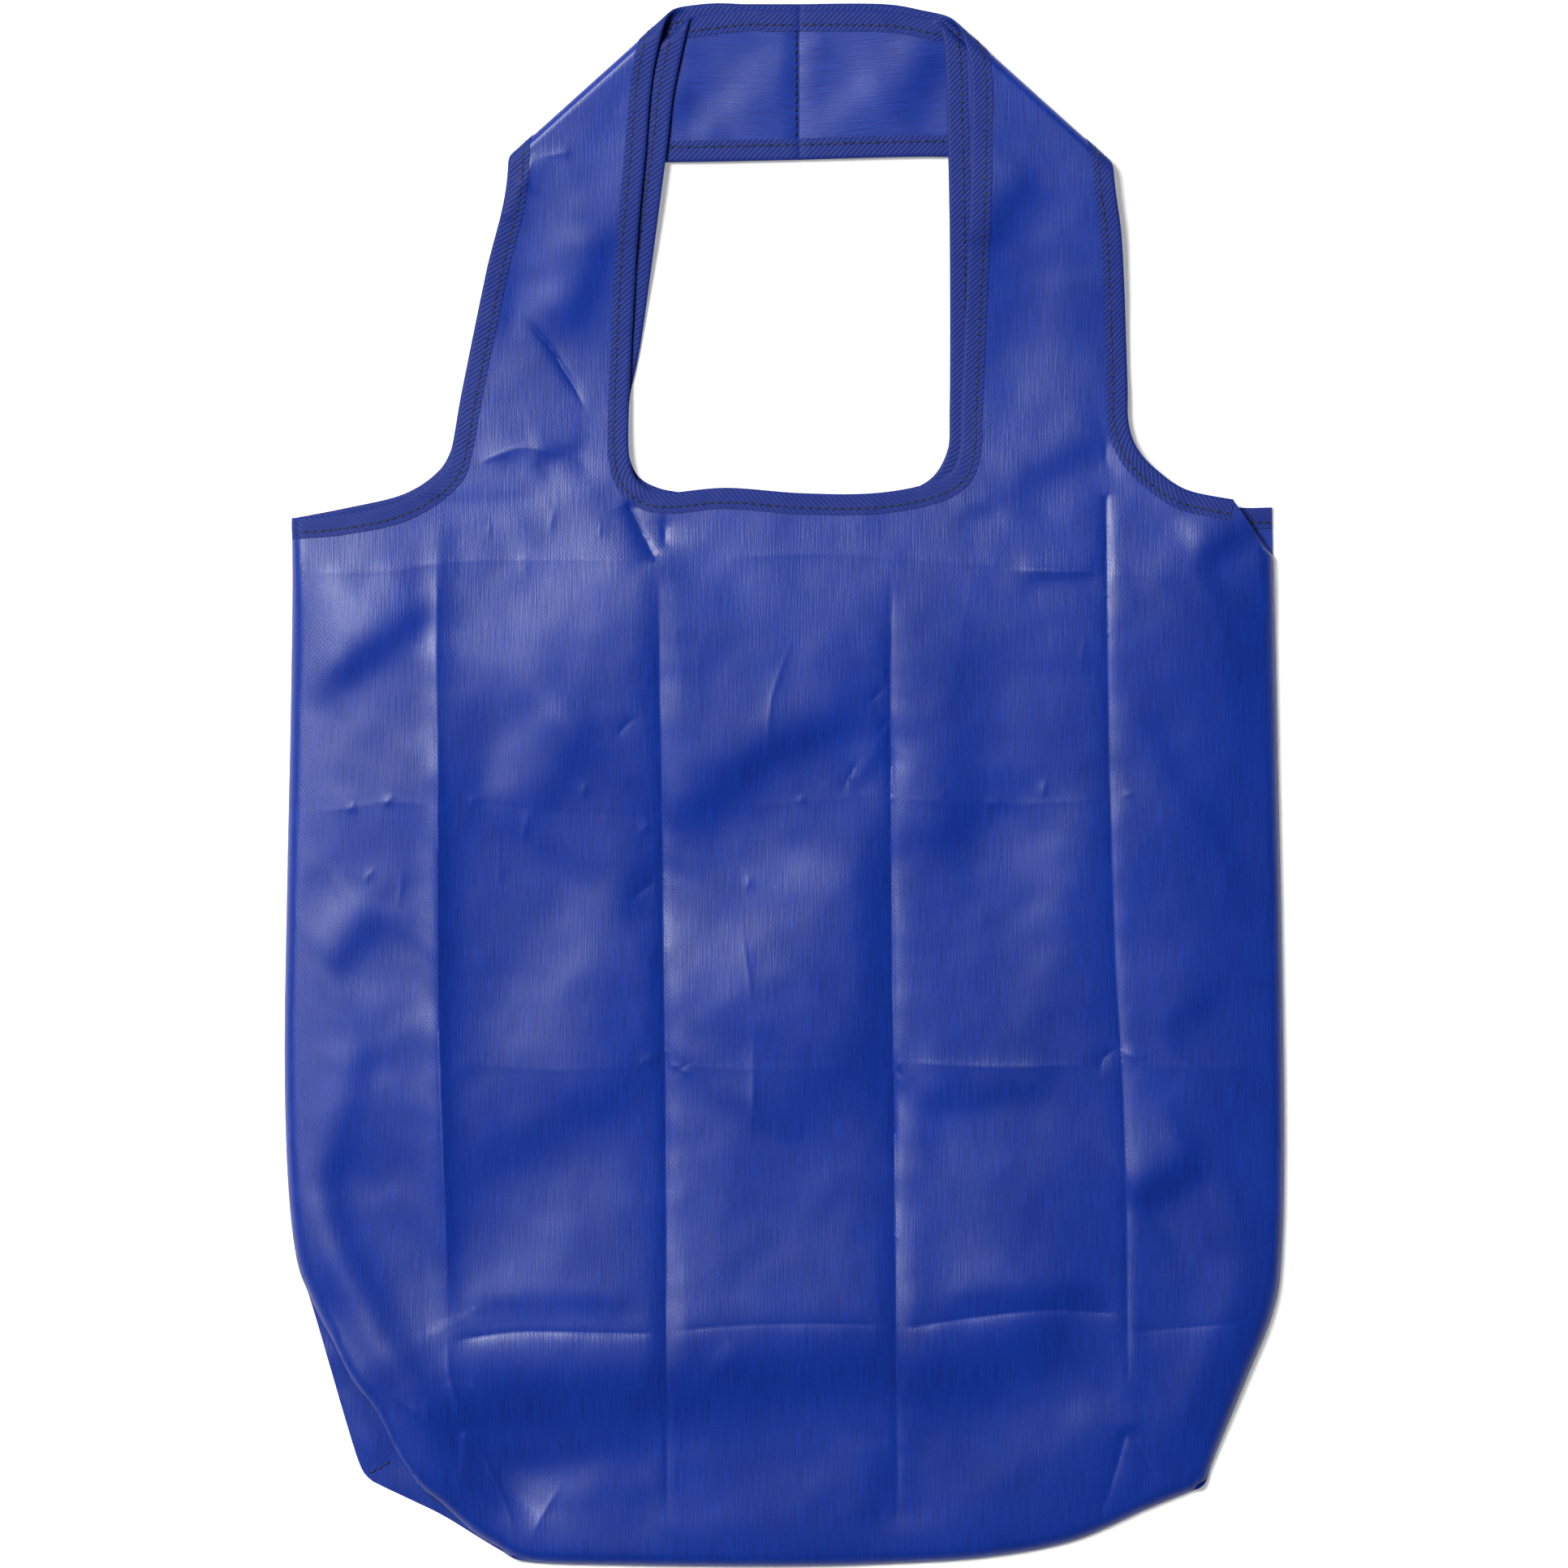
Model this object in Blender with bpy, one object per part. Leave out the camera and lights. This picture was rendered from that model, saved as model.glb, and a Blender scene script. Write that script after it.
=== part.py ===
"""Foldable shopping bag of thin satin-woven cloth, lying flat on its back.

The front panel faces up (+Z) and the handles point to +Y. Each panel is cut flat with two
straps. The straps of one panel meet end to end in a seam, which makes one loop handle. Both
loops are folded back over a slanted line at their outer corners, so the seam lies between
the straps. Tape is folded over every cut edge. Metres, +Z up.
"""
import math

import bmesh
import bpy
from mathutils import Vector
from mathutils.geometry import delaunay_2d_cdt

# Body of the bag, measured up from its bottom edge
BODY_WIDTH = 0.380
SHOULDER_Y = 0.3982
NECK_Y = 0.4075
CORNER_Y = 0.0315

# Straps: where their edges run at the waist, and the loops that they make
WAIST_Y = 0.442
LEFT_OUTER_X = -0.1265
LEFT_INNER_X = -0.0595
RIGHT_INNER_X = 0.0677
RIGHT_OUTER_X = 0.1290
SEAM_X = 0.0057
BAND_LOW_Y = 0.5355
BAND_WIDTH = 0.0572
LOOP_STAGGER = 0.0012
FOLD_ANGLE = math.radians(42.0)

# Cloth, tape and the clearance between two layers that touch
CLOTH_T = 0.0004
TAPE_T = 0.0003
TAPE_W = 0.0075
FIT_GAP = 0.0003
FLOOR_GAP = 0.00005

# How far the front panel stands up from the back panel, and the width over which it rises
PUFF = 0.0112
RIM_WIDTH = 0.052
RELIEF_MARGIN = 0.030

# Storage creases pressed into the front: place at the top and at the bottom, and depth
# A negative depth is a crease that stands up
CREASE_REACH = 0.013
CREASE_COLUMNS = (
    (-0.1315, -0.1315, -0.0010),
    (-0.0452, -0.0452, 0.0016),
    (0.0421, 0.0421, 0.0015),
    (0.1238, 0.1300, 0.0016),
)
CREASE_ROWS = (
    (0.3796, 0.0007),
    (0.2871, 0.0005),
    (0.1915, 0.0009),
    (0.0897, 0.0016),
)
# Soft billows between the creases: centre x and y, half length, half width, turn, height
BILLOWS = (
    (-0.157, 0.335, 0.040, 0.014, 52, -0.0012),
    (-0.158, 0.250, 0.050, 0.018, 80, 0.0010),
    (-0.150, 0.115, 0.060, 0.016, -52, -0.0022),
    (-0.172, 0.108, 0.050, 0.010, -66, 0.0016),
    (-0.100, 0.345, 0.045, 0.022, 65, 0.0014),
    (-0.085, 0.240, 0.055, 0.020, 78, 0.0012),
    (-0.088, 0.165, 0.035, 0.016, 8, -0.0010),
    (-0.090, 0.055, 0.040, 0.018, 15, -0.0016),
    (-0.010, 0.300, 0.050, 0.014, 28, -0.0012),
    (0.000, 0.245, 0.045, 0.018, 60, 0.0012),
    (-0.005, 0.195, 0.040, 0.018, 40, -0.0010),
    (0.005, 0.050, 0.045, 0.022, 5, 0.0012),
    (0.082, 0.255, 0.050, 0.020, 76, 0.0014),
    (0.078, 0.180, 0.040, 0.016, 20, -0.0010),
    (0.080, 0.060, 0.045, 0.020, 20, 0.0012),
    (0.158, 0.310, 0.055, 0.014, 82, 0.0012),
    (0.155, 0.110, 0.055, 0.018, 75, 0.0012),
    (0.105, 0.382, 0.045, 0.014, -38, 0.0012),
)

# Mesh steps
FRONT_STEP = 0.0140
BACK_STEP = 0.0300
SIDE_STEP = 0.0150
HEM_STEP = 0.0110
FOLD_FACETS = 6

# Sizes that follow
HALF_WIDTH = BODY_WIDTH / 2
FOLD_Y = BAND_LOW_Y + 0.0037
LEFT_FOLD_X = LEFT_OUTER_X + 0.0300
RIGHT_FOLD_X = RIGHT_OUTER_X - 0.0150
HEM_RISE_START = SHOULDER_Y - 0.053
HEM_RISE_END = SHOULDER_Y - 0.012
STRAP_RISE_START = WAIST_Y + 0.016
STRAP_RISE_END = BAND_LOW_Y - 0.0095
MOUTH_END_Y = WAIST_Y + 0.028
BAND_TOP_Y = BAND_LOW_Y + BAND_WIDTH
TAPE_OUT = FIT_GAP + TAPE_T / 2
TAPE_OFFSET = CLOTH_T / 2 + FIT_GAP + TAPE_T / 2
HEM_HALF = CLOTH_T / 2 + FIT_GAP + TAPE_T
HEM_Z = HEM_HALF + FLOOR_GAP
LAYER = 2 * HEM_HALF + FIT_GAP
PANEL_GAP = CLOTH_T + FIT_GAP
WELD = 0.0002

CLOTH_BLUE = (0.022, 0.056, 0.296)
TAPE_BLUE = (0.024, 0.052, 0.250)


def ease(t):
    """Rise smoothly from 0 to 1."""
    t = min(1.0, max(0.0, t))
    return t * t * (3 - 2 * t)


def resample(line, step):
    """Even points along a polyline, with both of its ends kept."""
    reach = [0.0]
    for a, b in zip(line, line[1:]):
        reach.append(reach[-1] + math.dist(a, b))
    count = max(1, round(reach[-1] / step))
    result = []
    k = 0
    for i in range(count + 1):
        want = reach[-1] * i / count
        while k < len(line) - 2 and reach[k + 1] < want:
            k += 1
        share = (want - reach[k]) / (reach[k + 1] - reach[k])
        share = min(1.0, max(0.0, share))
        result.append(tuple(p + (q - p) * share for p, q in zip(line[k], line[k + 1])))
    return result


def spline(points, step):
    """Points a step apart along a smooth curve through the given ones."""
    dense = []
    last = len(points) - 1
    pieces = 16
    for i in range(last):
        span = (points[max(0, i - 1)], points[i], points[i + 1], points[min(last, i + 2)])
        for k in range(pieces):
            t = k / pieces
            dense.append(tuple(
                0.5 * (2 * b + (c - a) * t + (2 * a - 5 * b + 4 * c - d) * t * t
                       + (3 * b - a - 3 * c + d) * t ** 3)
                for a, b, c, d in zip(*span)))
    dense.append(points[last])
    return resample(dense, step)


def offset(line, distance):
    """The same polyline moved to its left by a distance."""
    result = []
    last = len(line) - 1
    for i, point in enumerate(line):
        along = Vector(line[min(last, i + 1)]) - Vector(line[max(0, i - 1)])
        along.normalize()
        result.append((point[0] - along.y * distance, point[1] + along.x * distance))
    return result


def line_distance(x, y, line):
    """Shortest distance from a point to a polyline."""
    best = math.inf
    for (ax, ay), (bx, by) in zip(line, line[1:]):
        dx = bx - ax
        dy = by - ay
        t = ((x - ax) * dx + (y - ay) * dy) / (dx * dx + dy * dy)
        t = min(1.0, max(0.0, t))
        best = min(best, math.hypot(x - ax - t * dx, y - ay - t * dy))
    return best


def inside(x, y, loop):
    """Whether a point lies inside a closed outline."""
    hit = False
    for (ax, ay), (bx, by) in zip(loop, loop[1:] + loop[:1]):
        if (ay > y) != (by > y) and x < ax + (y - ay) * (bx - ax) / (by - ay):
            hit = not hit
    return hit


class Fold:
    """A slanted line over which a strap is turned back and under itself."""

    def __init__(self, x, side, low_z, high_z):
        self.radius = (high_z - low_z) / 2
        self.axis_z = low_z + self.radius
        self.point = Vector((x, FOLD_Y))
        self.along = Vector((-side * math.cos(FOLD_ANGLE), math.sin(FOLD_ANGLE)))
        self.out = Vector((side * math.sin(FOLD_ANGLE), math.cos(FOLD_ANGLE)))

    def beyond(self, x, y):
        return (Vector((x, y)) - self.point).dot(self.out)

    def unfold(self, x, y):
        """Where a point of the turned stretch lies on the flat cloth."""
        past = math.pi * self.radius - 2 * self.beyond(x, y)
        return tuple(Vector((x, y)) + self.out * past)

    def turn(self, x, y):
        """Place in space of a point that lies past the line on the flat cloth."""
        past = self.beyond(x, y)
        foot = Vector((x, y)) - self.out * past
        arc = math.pi * self.radius
        if past > arc:
            place = foot - self.out * (past - arc)
            return place.x, place.y, self.axis_z - self.radius
        angle = past / self.radius
        place = foot + self.out * (self.radius * math.sin(angle))
        return place.x, place.y, self.axis_z + self.radius * math.cos(angle)

    def lines(self):
        """Lines on the flat cloth between the facets of the turn."""
        result = []
        for k in range(FOLD_FACETS + 1):
            start = self.point + self.out * (math.pi * self.radius * k / FOLD_FACETS)
            below = start - self.along * 0.020
            above = start + self.along * (BAND_WIDTH + 0.028)
            result.append([tuple(below), tuple(above)])
        return result


def hem_share(y):
    """0 on the plain body, 1 where taped hems lie on each other."""
    return ease((y - HEM_RISE_START) / (HEM_RISE_END - HEM_RISE_START))


def back_height(y):
    """Height of the back panel's middle: on the floor, higher at the hems and the folds."""
    strap = ease((y - STRAP_RISE_START) / (STRAP_RISE_END - STRAP_RISE_START))
    return CLOTH_T / 2 + (HEM_Z - CLOTH_T / 2) * hem_share(y) + 2 * LAYER * strap


def crease_x(column, y):
    """Where a pressed crease runs at a height up the bag."""
    top, bottom, _ = column
    return bottom + (top - bottom) * min(1.0, y / SHOULDER_Y)


def billow(x, y, shape):
    """Height of one soft billow at a point."""
    centre_x, centre_y, length, width, turn, height = shape
    c = math.cos(math.radians(turn))
    s = math.sin(math.radians(turn))
    along = ((x - centre_x) * c + (y - centre_y) * s) / length
    across = ((y - centre_y) * c - (x - centre_x) * s) / width
    return height * math.exp(-along * along - across * across)


def relief(x, y):
    """Creases and billows of the front panel."""
    total = sum(billow(x, y, shape) for shape in BILLOWS)
    for column in CREASE_COLUMNS:
        total -= column[2] * math.exp(-abs(x - crease_x(column, y)) / CREASE_REACH)
    for row_y, depth in CREASE_ROWS:
        total -= depth * math.exp(-abs(y - row_y) / CREASE_REACH)
    return total


class Panel:
    """One cut panel with its two straps: its edges on the flat cloth, its place in space."""

    def __init__(self, name, front, layers, left_shift, right_shift):
        self.name = name
        self.front = front
        low_z = HEM_Z + layers[0] * LAYER
        high_z = HEM_Z + layers[1] * LAYER
        self.left_fold = Fold(LEFT_FOLD_X + left_shift, -1, low_z, high_z)
        self.right_fold = Fold(RIGHT_FOLD_X + right_shift, 1, low_z, high_z)
        self.band_top = BAND_TOP_Y + (LOOP_STAGGER if front else -LOOP_STAGGER)
        self.side = spline(body_side(front), SIDE_STEP)
        self.right = spline(right_outer_hem(self), HEM_STEP)
        self.neck = spline(neck_hem(self), HEM_STEP)
        self.left = spline(left_outer_hem(self), HEM_STEP)

    def height(self, x, y):
        if not self.front:
            return back_height(y)
        gap = PANEL_GAP + (LAYER - PANEL_GAP) * hem_share(y)
        rim = line_distance(x, y, self.side)
        rise = math.sin(math.pi / 2 * min(1.0, rim / RIM_WIDTH))
        puff = PUFF * rise + relief(x, y) * ease(rim / RELIEF_MARGIN)
        mouth = 1 - ease((y - NECK_Y) / (MOUTH_END_Y - NECK_Y))
        return back_height(y) + gap + puff * mouth

    def place(self, x, y):
        """A point of the flat cloth in space."""
        fold = self.left_fold if x < 0 else self.right_fold
        if fold.beyond(x, y) > 0:
            return Vector(fold.turn(x, y))
        return Vector((x, y, self.height(x, y)))

    def lifted(self, x, y, distance):
        """A point at a distance from the cloth's middle, along the cloth's normal."""
        probe = CLOTH_T
        along_x = self.place(x + probe, y) - self.place(x - probe, y)
        along_y = self.place(x, y + probe) - self.place(x, y - probe)
        return self.place(x, y) + along_x.cross(along_y).normalized() * distance

    def fold_lines(self):
        return self.left_fold.lines() + self.right_fold.lines()

    def strap_end(self, fold):
        """Points across the end of a strap, from its lower edge up, between its hems."""
        top = self.band_top
        heights = (BAND_LOW_Y + TAPE_W, (BAND_LOW_Y + top) / 2, top - TAPE_W)
        return [fold.unfold(SEAM_X, y) for y in heights]

    def outline(self):
        side = self.side if self.front else self.side[:-1]
        return (side + self.right + self.strap_end(self.right_fold) + self.neck
                + self.strap_end(self.left_fold)[::-1] + self.left[:-1])


def body_side(front):
    """Left side, bottom and right side of a panel, from shoulder to shoulder."""
    half = HALF_WIDTH
    left = [
        (-half + 0.0028, SHOULDER_Y), (-half + 0.0030, 0.3700), (-half + 0.0022, 0.3180),
        (-half + 0.0009, 0.2560), (-half, 0.1950), (-half + 0.0012, 0.1480),
        (-half + 0.0045, 0.1175),
    ]
    front_corner = [
        (-half + 0.0100, 0.1020), (-half + 0.0160, 0.0890), (-half + 0.0255, 0.0712),
        (-half + 0.0340, 0.0599), (-half + 0.0424, CORNER_Y + 0.0121),
        (-half + 0.0510, CORNER_Y), (-half + 0.0588, 0.0250), (-half + 0.0722, 0.0128),
        (-half + 0.0815, 0.0074),
    ]
    back_corner = [
        (-half + 0.0094, 0.1020), (-half + 0.0140, 0.0867), (-half + 0.0230, 0.0558),
        (-half + 0.0283, CORNER_Y + 0.0075), (-half + 0.0318, CORNER_Y + 0.0020),
        (-half + 0.0365, CORNER_Y - 0.0008), (-half + 0.0490, 0.0248),
        (-half + 0.0610, 0.0188), (-half + 0.0815, 0.0063),
    ]
    right = [
        (-half + 0.0922, 0.0019), (-0.0600, 0.0004), (0.0, 0.0), (0.0400, 0.0010),
        (half - 0.1131, 0.0035), (half - 0.0807, 0.0096), (half - 0.0528, 0.0216),
        (half - 0.0368, CORNER_Y - 0.0034), (half - 0.0302, CORNER_Y),
        (half - 0.0268, CORNER_Y + 0.0095), (half - 0.0144, 0.0712),
        (half - 0.0043, 0.0965), (half - 0.0010, 0.1180), (half, 0.1640),
        (half - 0.0010, 0.2400), (half - 0.0022, 0.2950), (half - 0.0034, 0.3550),
        (half - 0.0042, SHOULDER_Y - 0.0140),
    ]
    if front:
        return left + front_corner + right
    return left + back_corner + right + [(half - 0.0045, SHOULDER_Y + 0.0042)]


def right_outer_hem(panel):
    """Right armhole and outer edge of the right strap, from the shoulder to the seam."""
    if panel.front:
        start = [(HALF_WIDTH - 0.0193, SHOULDER_Y + 0.0070)]
        out = RIGHT_OUTER_X
    else:
        start = [
            (HALF_WIDTH - 0.0045, SHOULDER_Y + 0.0042),
            (HALF_WIDTH - 0.0200, SHOULDER_Y + 0.0046),
        ]
        out = RIGHT_OUTER_X - 0.0008
    strap = [
        (out + 0.0240, SHOULDER_Y + 0.0107), (out + 0.0130, SHOULDER_Y + 0.0178),
        (out + 0.0050, SHOULDER_Y + 0.0264), (out + 0.0014, SHOULDER_Y + 0.0370),
        (out + 0.0010, WAIST_Y + 0.0100), (out - 0.0010, WAIST_Y + 0.0600),
        (out - 0.0040, BAND_LOW_Y - 0.0085),
    ]
    turned = [
        (SEAM_X + 0.0850, BAND_LOW_Y), (SEAM_X + 0.0500, BAND_LOW_Y + 0.0012),
        (SEAM_X, BAND_LOW_Y),
    ]
    return start + strap + [panel.right_fold.unfold(x, y) for x, y in turned]


def left_outer_hem(panel):
    """Left armhole and outer edge of the left strap, from the seam back to the shoulder."""
    out = LEFT_OUTER_X
    dip = 0.0022 if panel.front else 0.0
    narrow = 0.0 if panel.front else 0.0060
    turned = [
        (SEAM_X, BAND_LOW_Y), (SEAM_X - 0.0400, BAND_LOW_Y - 0.0008),
        (SEAM_X - 0.0760, BAND_LOW_Y - 0.0008),
    ]
    strap = [
        (out + 0.0215 + narrow, BAND_LOW_Y - 0.0085), (out + 0.0135 + narrow, WAIST_Y + 0.0500),
        (out + 0.0045 + narrow / 2, WAIST_Y + 0.0060), (out + 0.0004, SHOULDER_Y + 0.0270),
        (out - 0.0060 + dip, SHOULDER_Y + 0.0170), (out - 0.0190, SHOULDER_Y + 0.0090 - dip),
        (out - 0.0400, SHOULDER_Y + 0.0040 - dip), (-HALF_WIDTH + 0.0028, SHOULDER_Y),
    ]
    return [panel.left_fold.unfold(x, y) for x, y in turned] + strap


def neck_hem(panel):
    """Inner edges of both straps and the neckline, from the seam on the right to the left."""
    top = panel.band_top
    left = LEFT_INNER_X
    if panel.front:
        right = RIGHT_INNER_X
        turned_right = [(SEAM_X, top), (SEAM_X + 0.0320, top), (SEAM_X + 0.0500, top - 0.0030)]
        right_strap = [
            (right + 0.0030, BAND_TOP_Y - 0.0210), (right + 0.0036, BAND_LOW_Y + 0.0045),
            (right + 0.0026, WAIST_Y + 0.0600), (right, WAIST_Y),
            (right - 0.0004, NECK_Y + 0.0190), (right - 0.0040, NECK_Y + 0.0085),
        ]
        neckline = [
            (right - 0.0160, NECK_Y + 0.0030), (SEAM_X + 0.0260, NECK_Y),
            (SEAM_X, NECK_Y + 0.0002), (SEAM_X - 0.0277, NECK_Y + 0.0022),
            (left + 0.0150, NECK_Y + 0.0004), (left + 0.0055, NECK_Y + 0.0030),
        ]
        left_strap = [
            (left + 0.0005, NECK_Y + 0.0120), (left, WAIST_Y), (left + 0.0030, WAIST_Y + 0.0590),
            (left + 0.0062, BAND_LOW_Y + 0.0005), (left + 0.0095, BAND_TOP_Y - 0.0230),
        ]
        turned_left = [(SEAM_X - 0.0370, top), (SEAM_X - 0.0200, top), (SEAM_X, top)]
    else:
        right = RIGHT_INNER_X - 0.0044
        turned_right = [(SEAM_X, top), (SEAM_X + 0.0230, top), (SEAM_X + 0.0380, top - 0.0008)]
        right_strap = [
            (right - 0.0025, BAND_TOP_Y - 0.0120), (right - 0.0010, BAND_LOW_Y + 0.0145),
            (right, WAIST_Y + 0.0600), (right, WAIST_Y), (right - 0.0015, NECK_Y + 0.0150),
        ]
        neckline = [
            (right - 0.0120, NECK_Y + 0.0030), (SEAM_X + 0.0220, NECK_Y - 0.0005),
            (SEAM_X, NECK_Y - 0.0010), (SEAM_X - 0.0307, NECK_Y - 0.0003),
            (left + 0.0110, NECK_Y + 0.0025),
        ]
        left_strap = [
            (left + 0.0008, NECK_Y + 0.0120), (left, WAIST_Y), (left + 0.0050, WAIST_Y + 0.0270),
            (left + 0.0140, BAND_LOW_Y), (left + 0.0176, BAND_LOW_Y + 0.0285),
        ]
        turned_left = [(SEAM_X - 0.0220, top), (SEAM_X - 0.0120, top), (SEAM_X, top)]
    return ([panel.right_fold.unfold(x, y) for x, y in turned_right]
            + right_strap + neckline + left_strap
            + [panel.left_fold.unfold(x, y) for x, y in turned_left])


def triangulate(loop, lines, fill):
    """Points and triangles of the flat region inside a closed outline, with lines as edges."""
    points = [Vector(p) for p in loop]
    count = len(points)
    edges = [(k, (k + 1) % count) for k in range(count)]
    for line in lines:
        start = len(points)
        points.extend(Vector(p) for p in line)
        edges.extend((start + k, start + k + 1) for k in range(len(line) - 1))
    points.extend(Vector(p) for p in fill)
    places, _, faces, *_ = delaunay_2d_cdt(points, edges, [list(range(count))], 1, 1e-6)
    used = sorted({i for face in faces for i in face})
    number = {i: k for k, i in enumerate(used)}
    return [places[i] for i in used], [[number[i] for i in face] for face in faces]


def crease_lines():
    """The pressed creases as lines on the flat cloth."""
    lines = []
    for column in CREASE_COLUMNS:
        wide = abs(column[0]) > RIGHT_INNER_X
        top = SHOULDER_Y - (0.016 if wide else 0.004)
        ends = [(crease_x(column, y), y) for y in (CORNER_Y + 0.0045, top)]
        lines.append(resample(ends, FRONT_STEP))
    reach = HALF_WIDTH - 0.022
    for row_y, _ in CREASE_ROWS:
        lines.append(resample([(-reach, row_y), (reach, row_y)], FRONT_STEP))
    return lines


def even_fill(outline, lines, step):
    """Points in staggered rows inside an outline, clear of it and of the lines.

    The straps bend, so their points are never further apart than the front's.
    """
    clear_of = [outline + outline[:1]] + lines
    low_x = min(p[0] for p in outline)
    high_x = max(p[0] for p in outline)
    high_y = max(p[1] for p in outline)
    fill = []
    y = step / 2
    shift = 0.5
    while y < high_y:
        pitch = step if y < HEM_RISE_START else FRONT_STEP
        x = low_x + pitch * shift
        while x < high_x:
            if inside(x, y, outline):
                if min(line_distance(x, y, line) for line in clear_of) > pitch * 0.42:
                    fill.append((x, y))
            x += pitch
        y += pitch * 0.88
        shift = 1.5 - shift
    return fill


def weld_seam(bm):
    """Join the ends of the two straps where they meet."""
    ends = [v for v in bm.verts if abs(v.co.x - SEAM_X) < WELD and v.co.y > WAIST_Y]
    for vert in ends:
        vert.co.x = SEAM_X
    bmesh.ops.remove_doubles(bm, verts=ends, dist=WELD)


def finish(name, bm, thickness, look, even):
    """A closed solid, made by giving a sheet its thickness."""
    bmesh.ops.recalc_face_normals(bm, faces=bm.faces[:])
    mesh = bpy.data.meshes.new(name)
    bm.to_mesh(mesh)
    bm.free()
    mesh.materials.append(look)
    item = bpy.data.objects.new(name, mesh)
    bpy.context.scene.collection.objects.link(item)
    solid = item.modifiers.new("thickness", "SOLIDIFY")
    solid.thickness = thickness
    solid.offset = 0
    solid.use_even_offset = even


def make_panel(panel, cloth):
    """Cloth of one panel, with its straps turned and sewn end to end."""
    outline = panel.outline()
    lines = [offset(hem, TAPE_W)[1:-1] for hem in (panel.right, panel.neck, panel.left)]
    lines += panel.fold_lines()
    if panel.front:
        lines += crease_lines()
    fill = even_fill(outline, lines, FRONT_STEP if panel.front else BACK_STEP)
    points, faces = triangulate(outline, lines, fill)
    bm = bmesh.new()
    verts = [bm.verts.new(panel.place(p.x, p.y)) for p in points]
    for face in faces:
        bm.faces.new([verts[i] for i in face])
    weld_seam(bm)
    finish(panel.name + "_panel", bm, CLOTH_T, cloth, False)


def add_channel(bm, panel, hem):
    """Upper and lower leaf of a folded tape along a hem, joined outside the cloth's edge."""
    outer = offset(hem, -TAPE_OUT)
    inner = offset(hem, TAPE_W)
    points, faces = triangulate(outer + inner[::-1], panel.fold_lines(), [])
    upper = [bm.verts.new(panel.lifted(p.x, p.y, TAPE_OFFSET)) for p in points]
    lower = [bm.verts.new(panel.lifted(p.x, p.y, -TAPE_OFFSET)) for p in points]
    uses = {}
    for face in faces:
        bm.faces.new([upper[i] for i in face])
        bm.faces.new([lower[i] for i in reversed(face)])
        for a, b in zip(face, face[1:] + face[:1]):
            edge = (min(a, b), max(a, b))
            uses[edge] = uses.get(edge, 0) + 1
    on_outer = [line_distance(p.x, p.y, outer) < 2e-6 for p in points]
    for (a, b), count in uses.items():
        if count == 1 and on_outer[a] and on_outer[b]:
            bm.faces.new([upper[a], upper[b], lower[b], lower[a]])


def make_binding(name, panel, hems, tape):
    """Tape folded over some of a panel's edges."""
    bm = bmesh.new()
    for hem in hems:
        add_channel(bm, panel, hem)
    weld_seam(bm)
    finish(name, bm, TAPE_T, tape, True)


def centre_on_floor():
    """Move every piece so that the bag's box is centred over the origin."""
    graph = bpy.context.evaluated_depsgraph_get()
    places = []
    for item in bpy.data.objects:
        places.extend(v.co for v in item.evaluated_get(graph).data.vertices)
    mid_x = (min(p.x for p in places) + max(p.x for p in places)) / 2
    mid_y = (min(p.y for p in places) + max(p.y for p in places)) / 2
    for item in bpy.data.objects:
        item.location = (-mid_x, -mid_y, 0)


def material(name, colour, roughness):
    look = bpy.data.materials.new(name)
    look.use_nodes = True
    shader = look.node_tree.nodes["Principled BSDF"]
    shader.inputs["Base Color"].default_value = (*colour, 1)
    shader.inputs["Roughness"].default_value = roughness
    shader.inputs["Metallic"].default_value = 0
    return look


def build():
    for item in list(bpy.data.objects):
        bpy.data.objects.remove(item)
    cloth = material("satin_cloth", CLOTH_BLUE, 0.45)
    tape = material("edge_tape", TAPE_BLUE, 0.60)
    # The front loop is folded outside the back loop, so its layers are the lowest and highest
    front = Panel("front", True, (0, 3), 0, 0)
    back = Panel("back", False, (1, 2), 0.007, -0.003)
    for panel in (front, back):
        make_panel(panel, cloth)
        make_binding(panel.name + "_neck_binding", panel, [panel.neck], tape)
        make_binding(panel.name + "_side_binding", panel, [panel.right, panel.left], tape)
    centre_on_floor()


build()
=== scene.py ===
"""Looks of the foldable shopping bag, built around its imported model.

The cloth of each panel is laid out flat, meshed finely, and then folded to the same shape
as in the model. Metres, in the frame's own axes. Flat places are given as x across the bag
and y up from its bottom edge. Creases and soft folds are placed by the photograph's pixels.
"""
import math

import bpy
import numpy as np
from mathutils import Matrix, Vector, noise
from mathutils.geometry import delaunay_2d_cdt


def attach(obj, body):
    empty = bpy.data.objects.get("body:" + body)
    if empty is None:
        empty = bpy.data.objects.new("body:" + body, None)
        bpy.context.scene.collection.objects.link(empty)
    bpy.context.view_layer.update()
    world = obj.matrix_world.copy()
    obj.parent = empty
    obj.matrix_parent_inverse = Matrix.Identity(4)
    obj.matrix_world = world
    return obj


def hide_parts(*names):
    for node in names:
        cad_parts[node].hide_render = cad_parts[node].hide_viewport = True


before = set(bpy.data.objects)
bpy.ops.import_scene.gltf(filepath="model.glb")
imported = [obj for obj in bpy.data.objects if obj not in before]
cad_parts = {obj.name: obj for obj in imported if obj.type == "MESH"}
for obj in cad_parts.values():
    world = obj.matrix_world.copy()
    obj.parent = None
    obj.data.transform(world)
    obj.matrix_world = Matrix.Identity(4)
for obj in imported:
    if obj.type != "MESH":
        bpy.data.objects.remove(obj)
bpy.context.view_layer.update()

# Photograph: metres in a pixel, the column over x = 0 and the row of the bottom edge
PHOTO_PX = 0.0003084
PHOTO_MID_U = 966.5
PHOTO_BASE_V = 1931.0
PHOTO_SIDE = 1932

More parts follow.
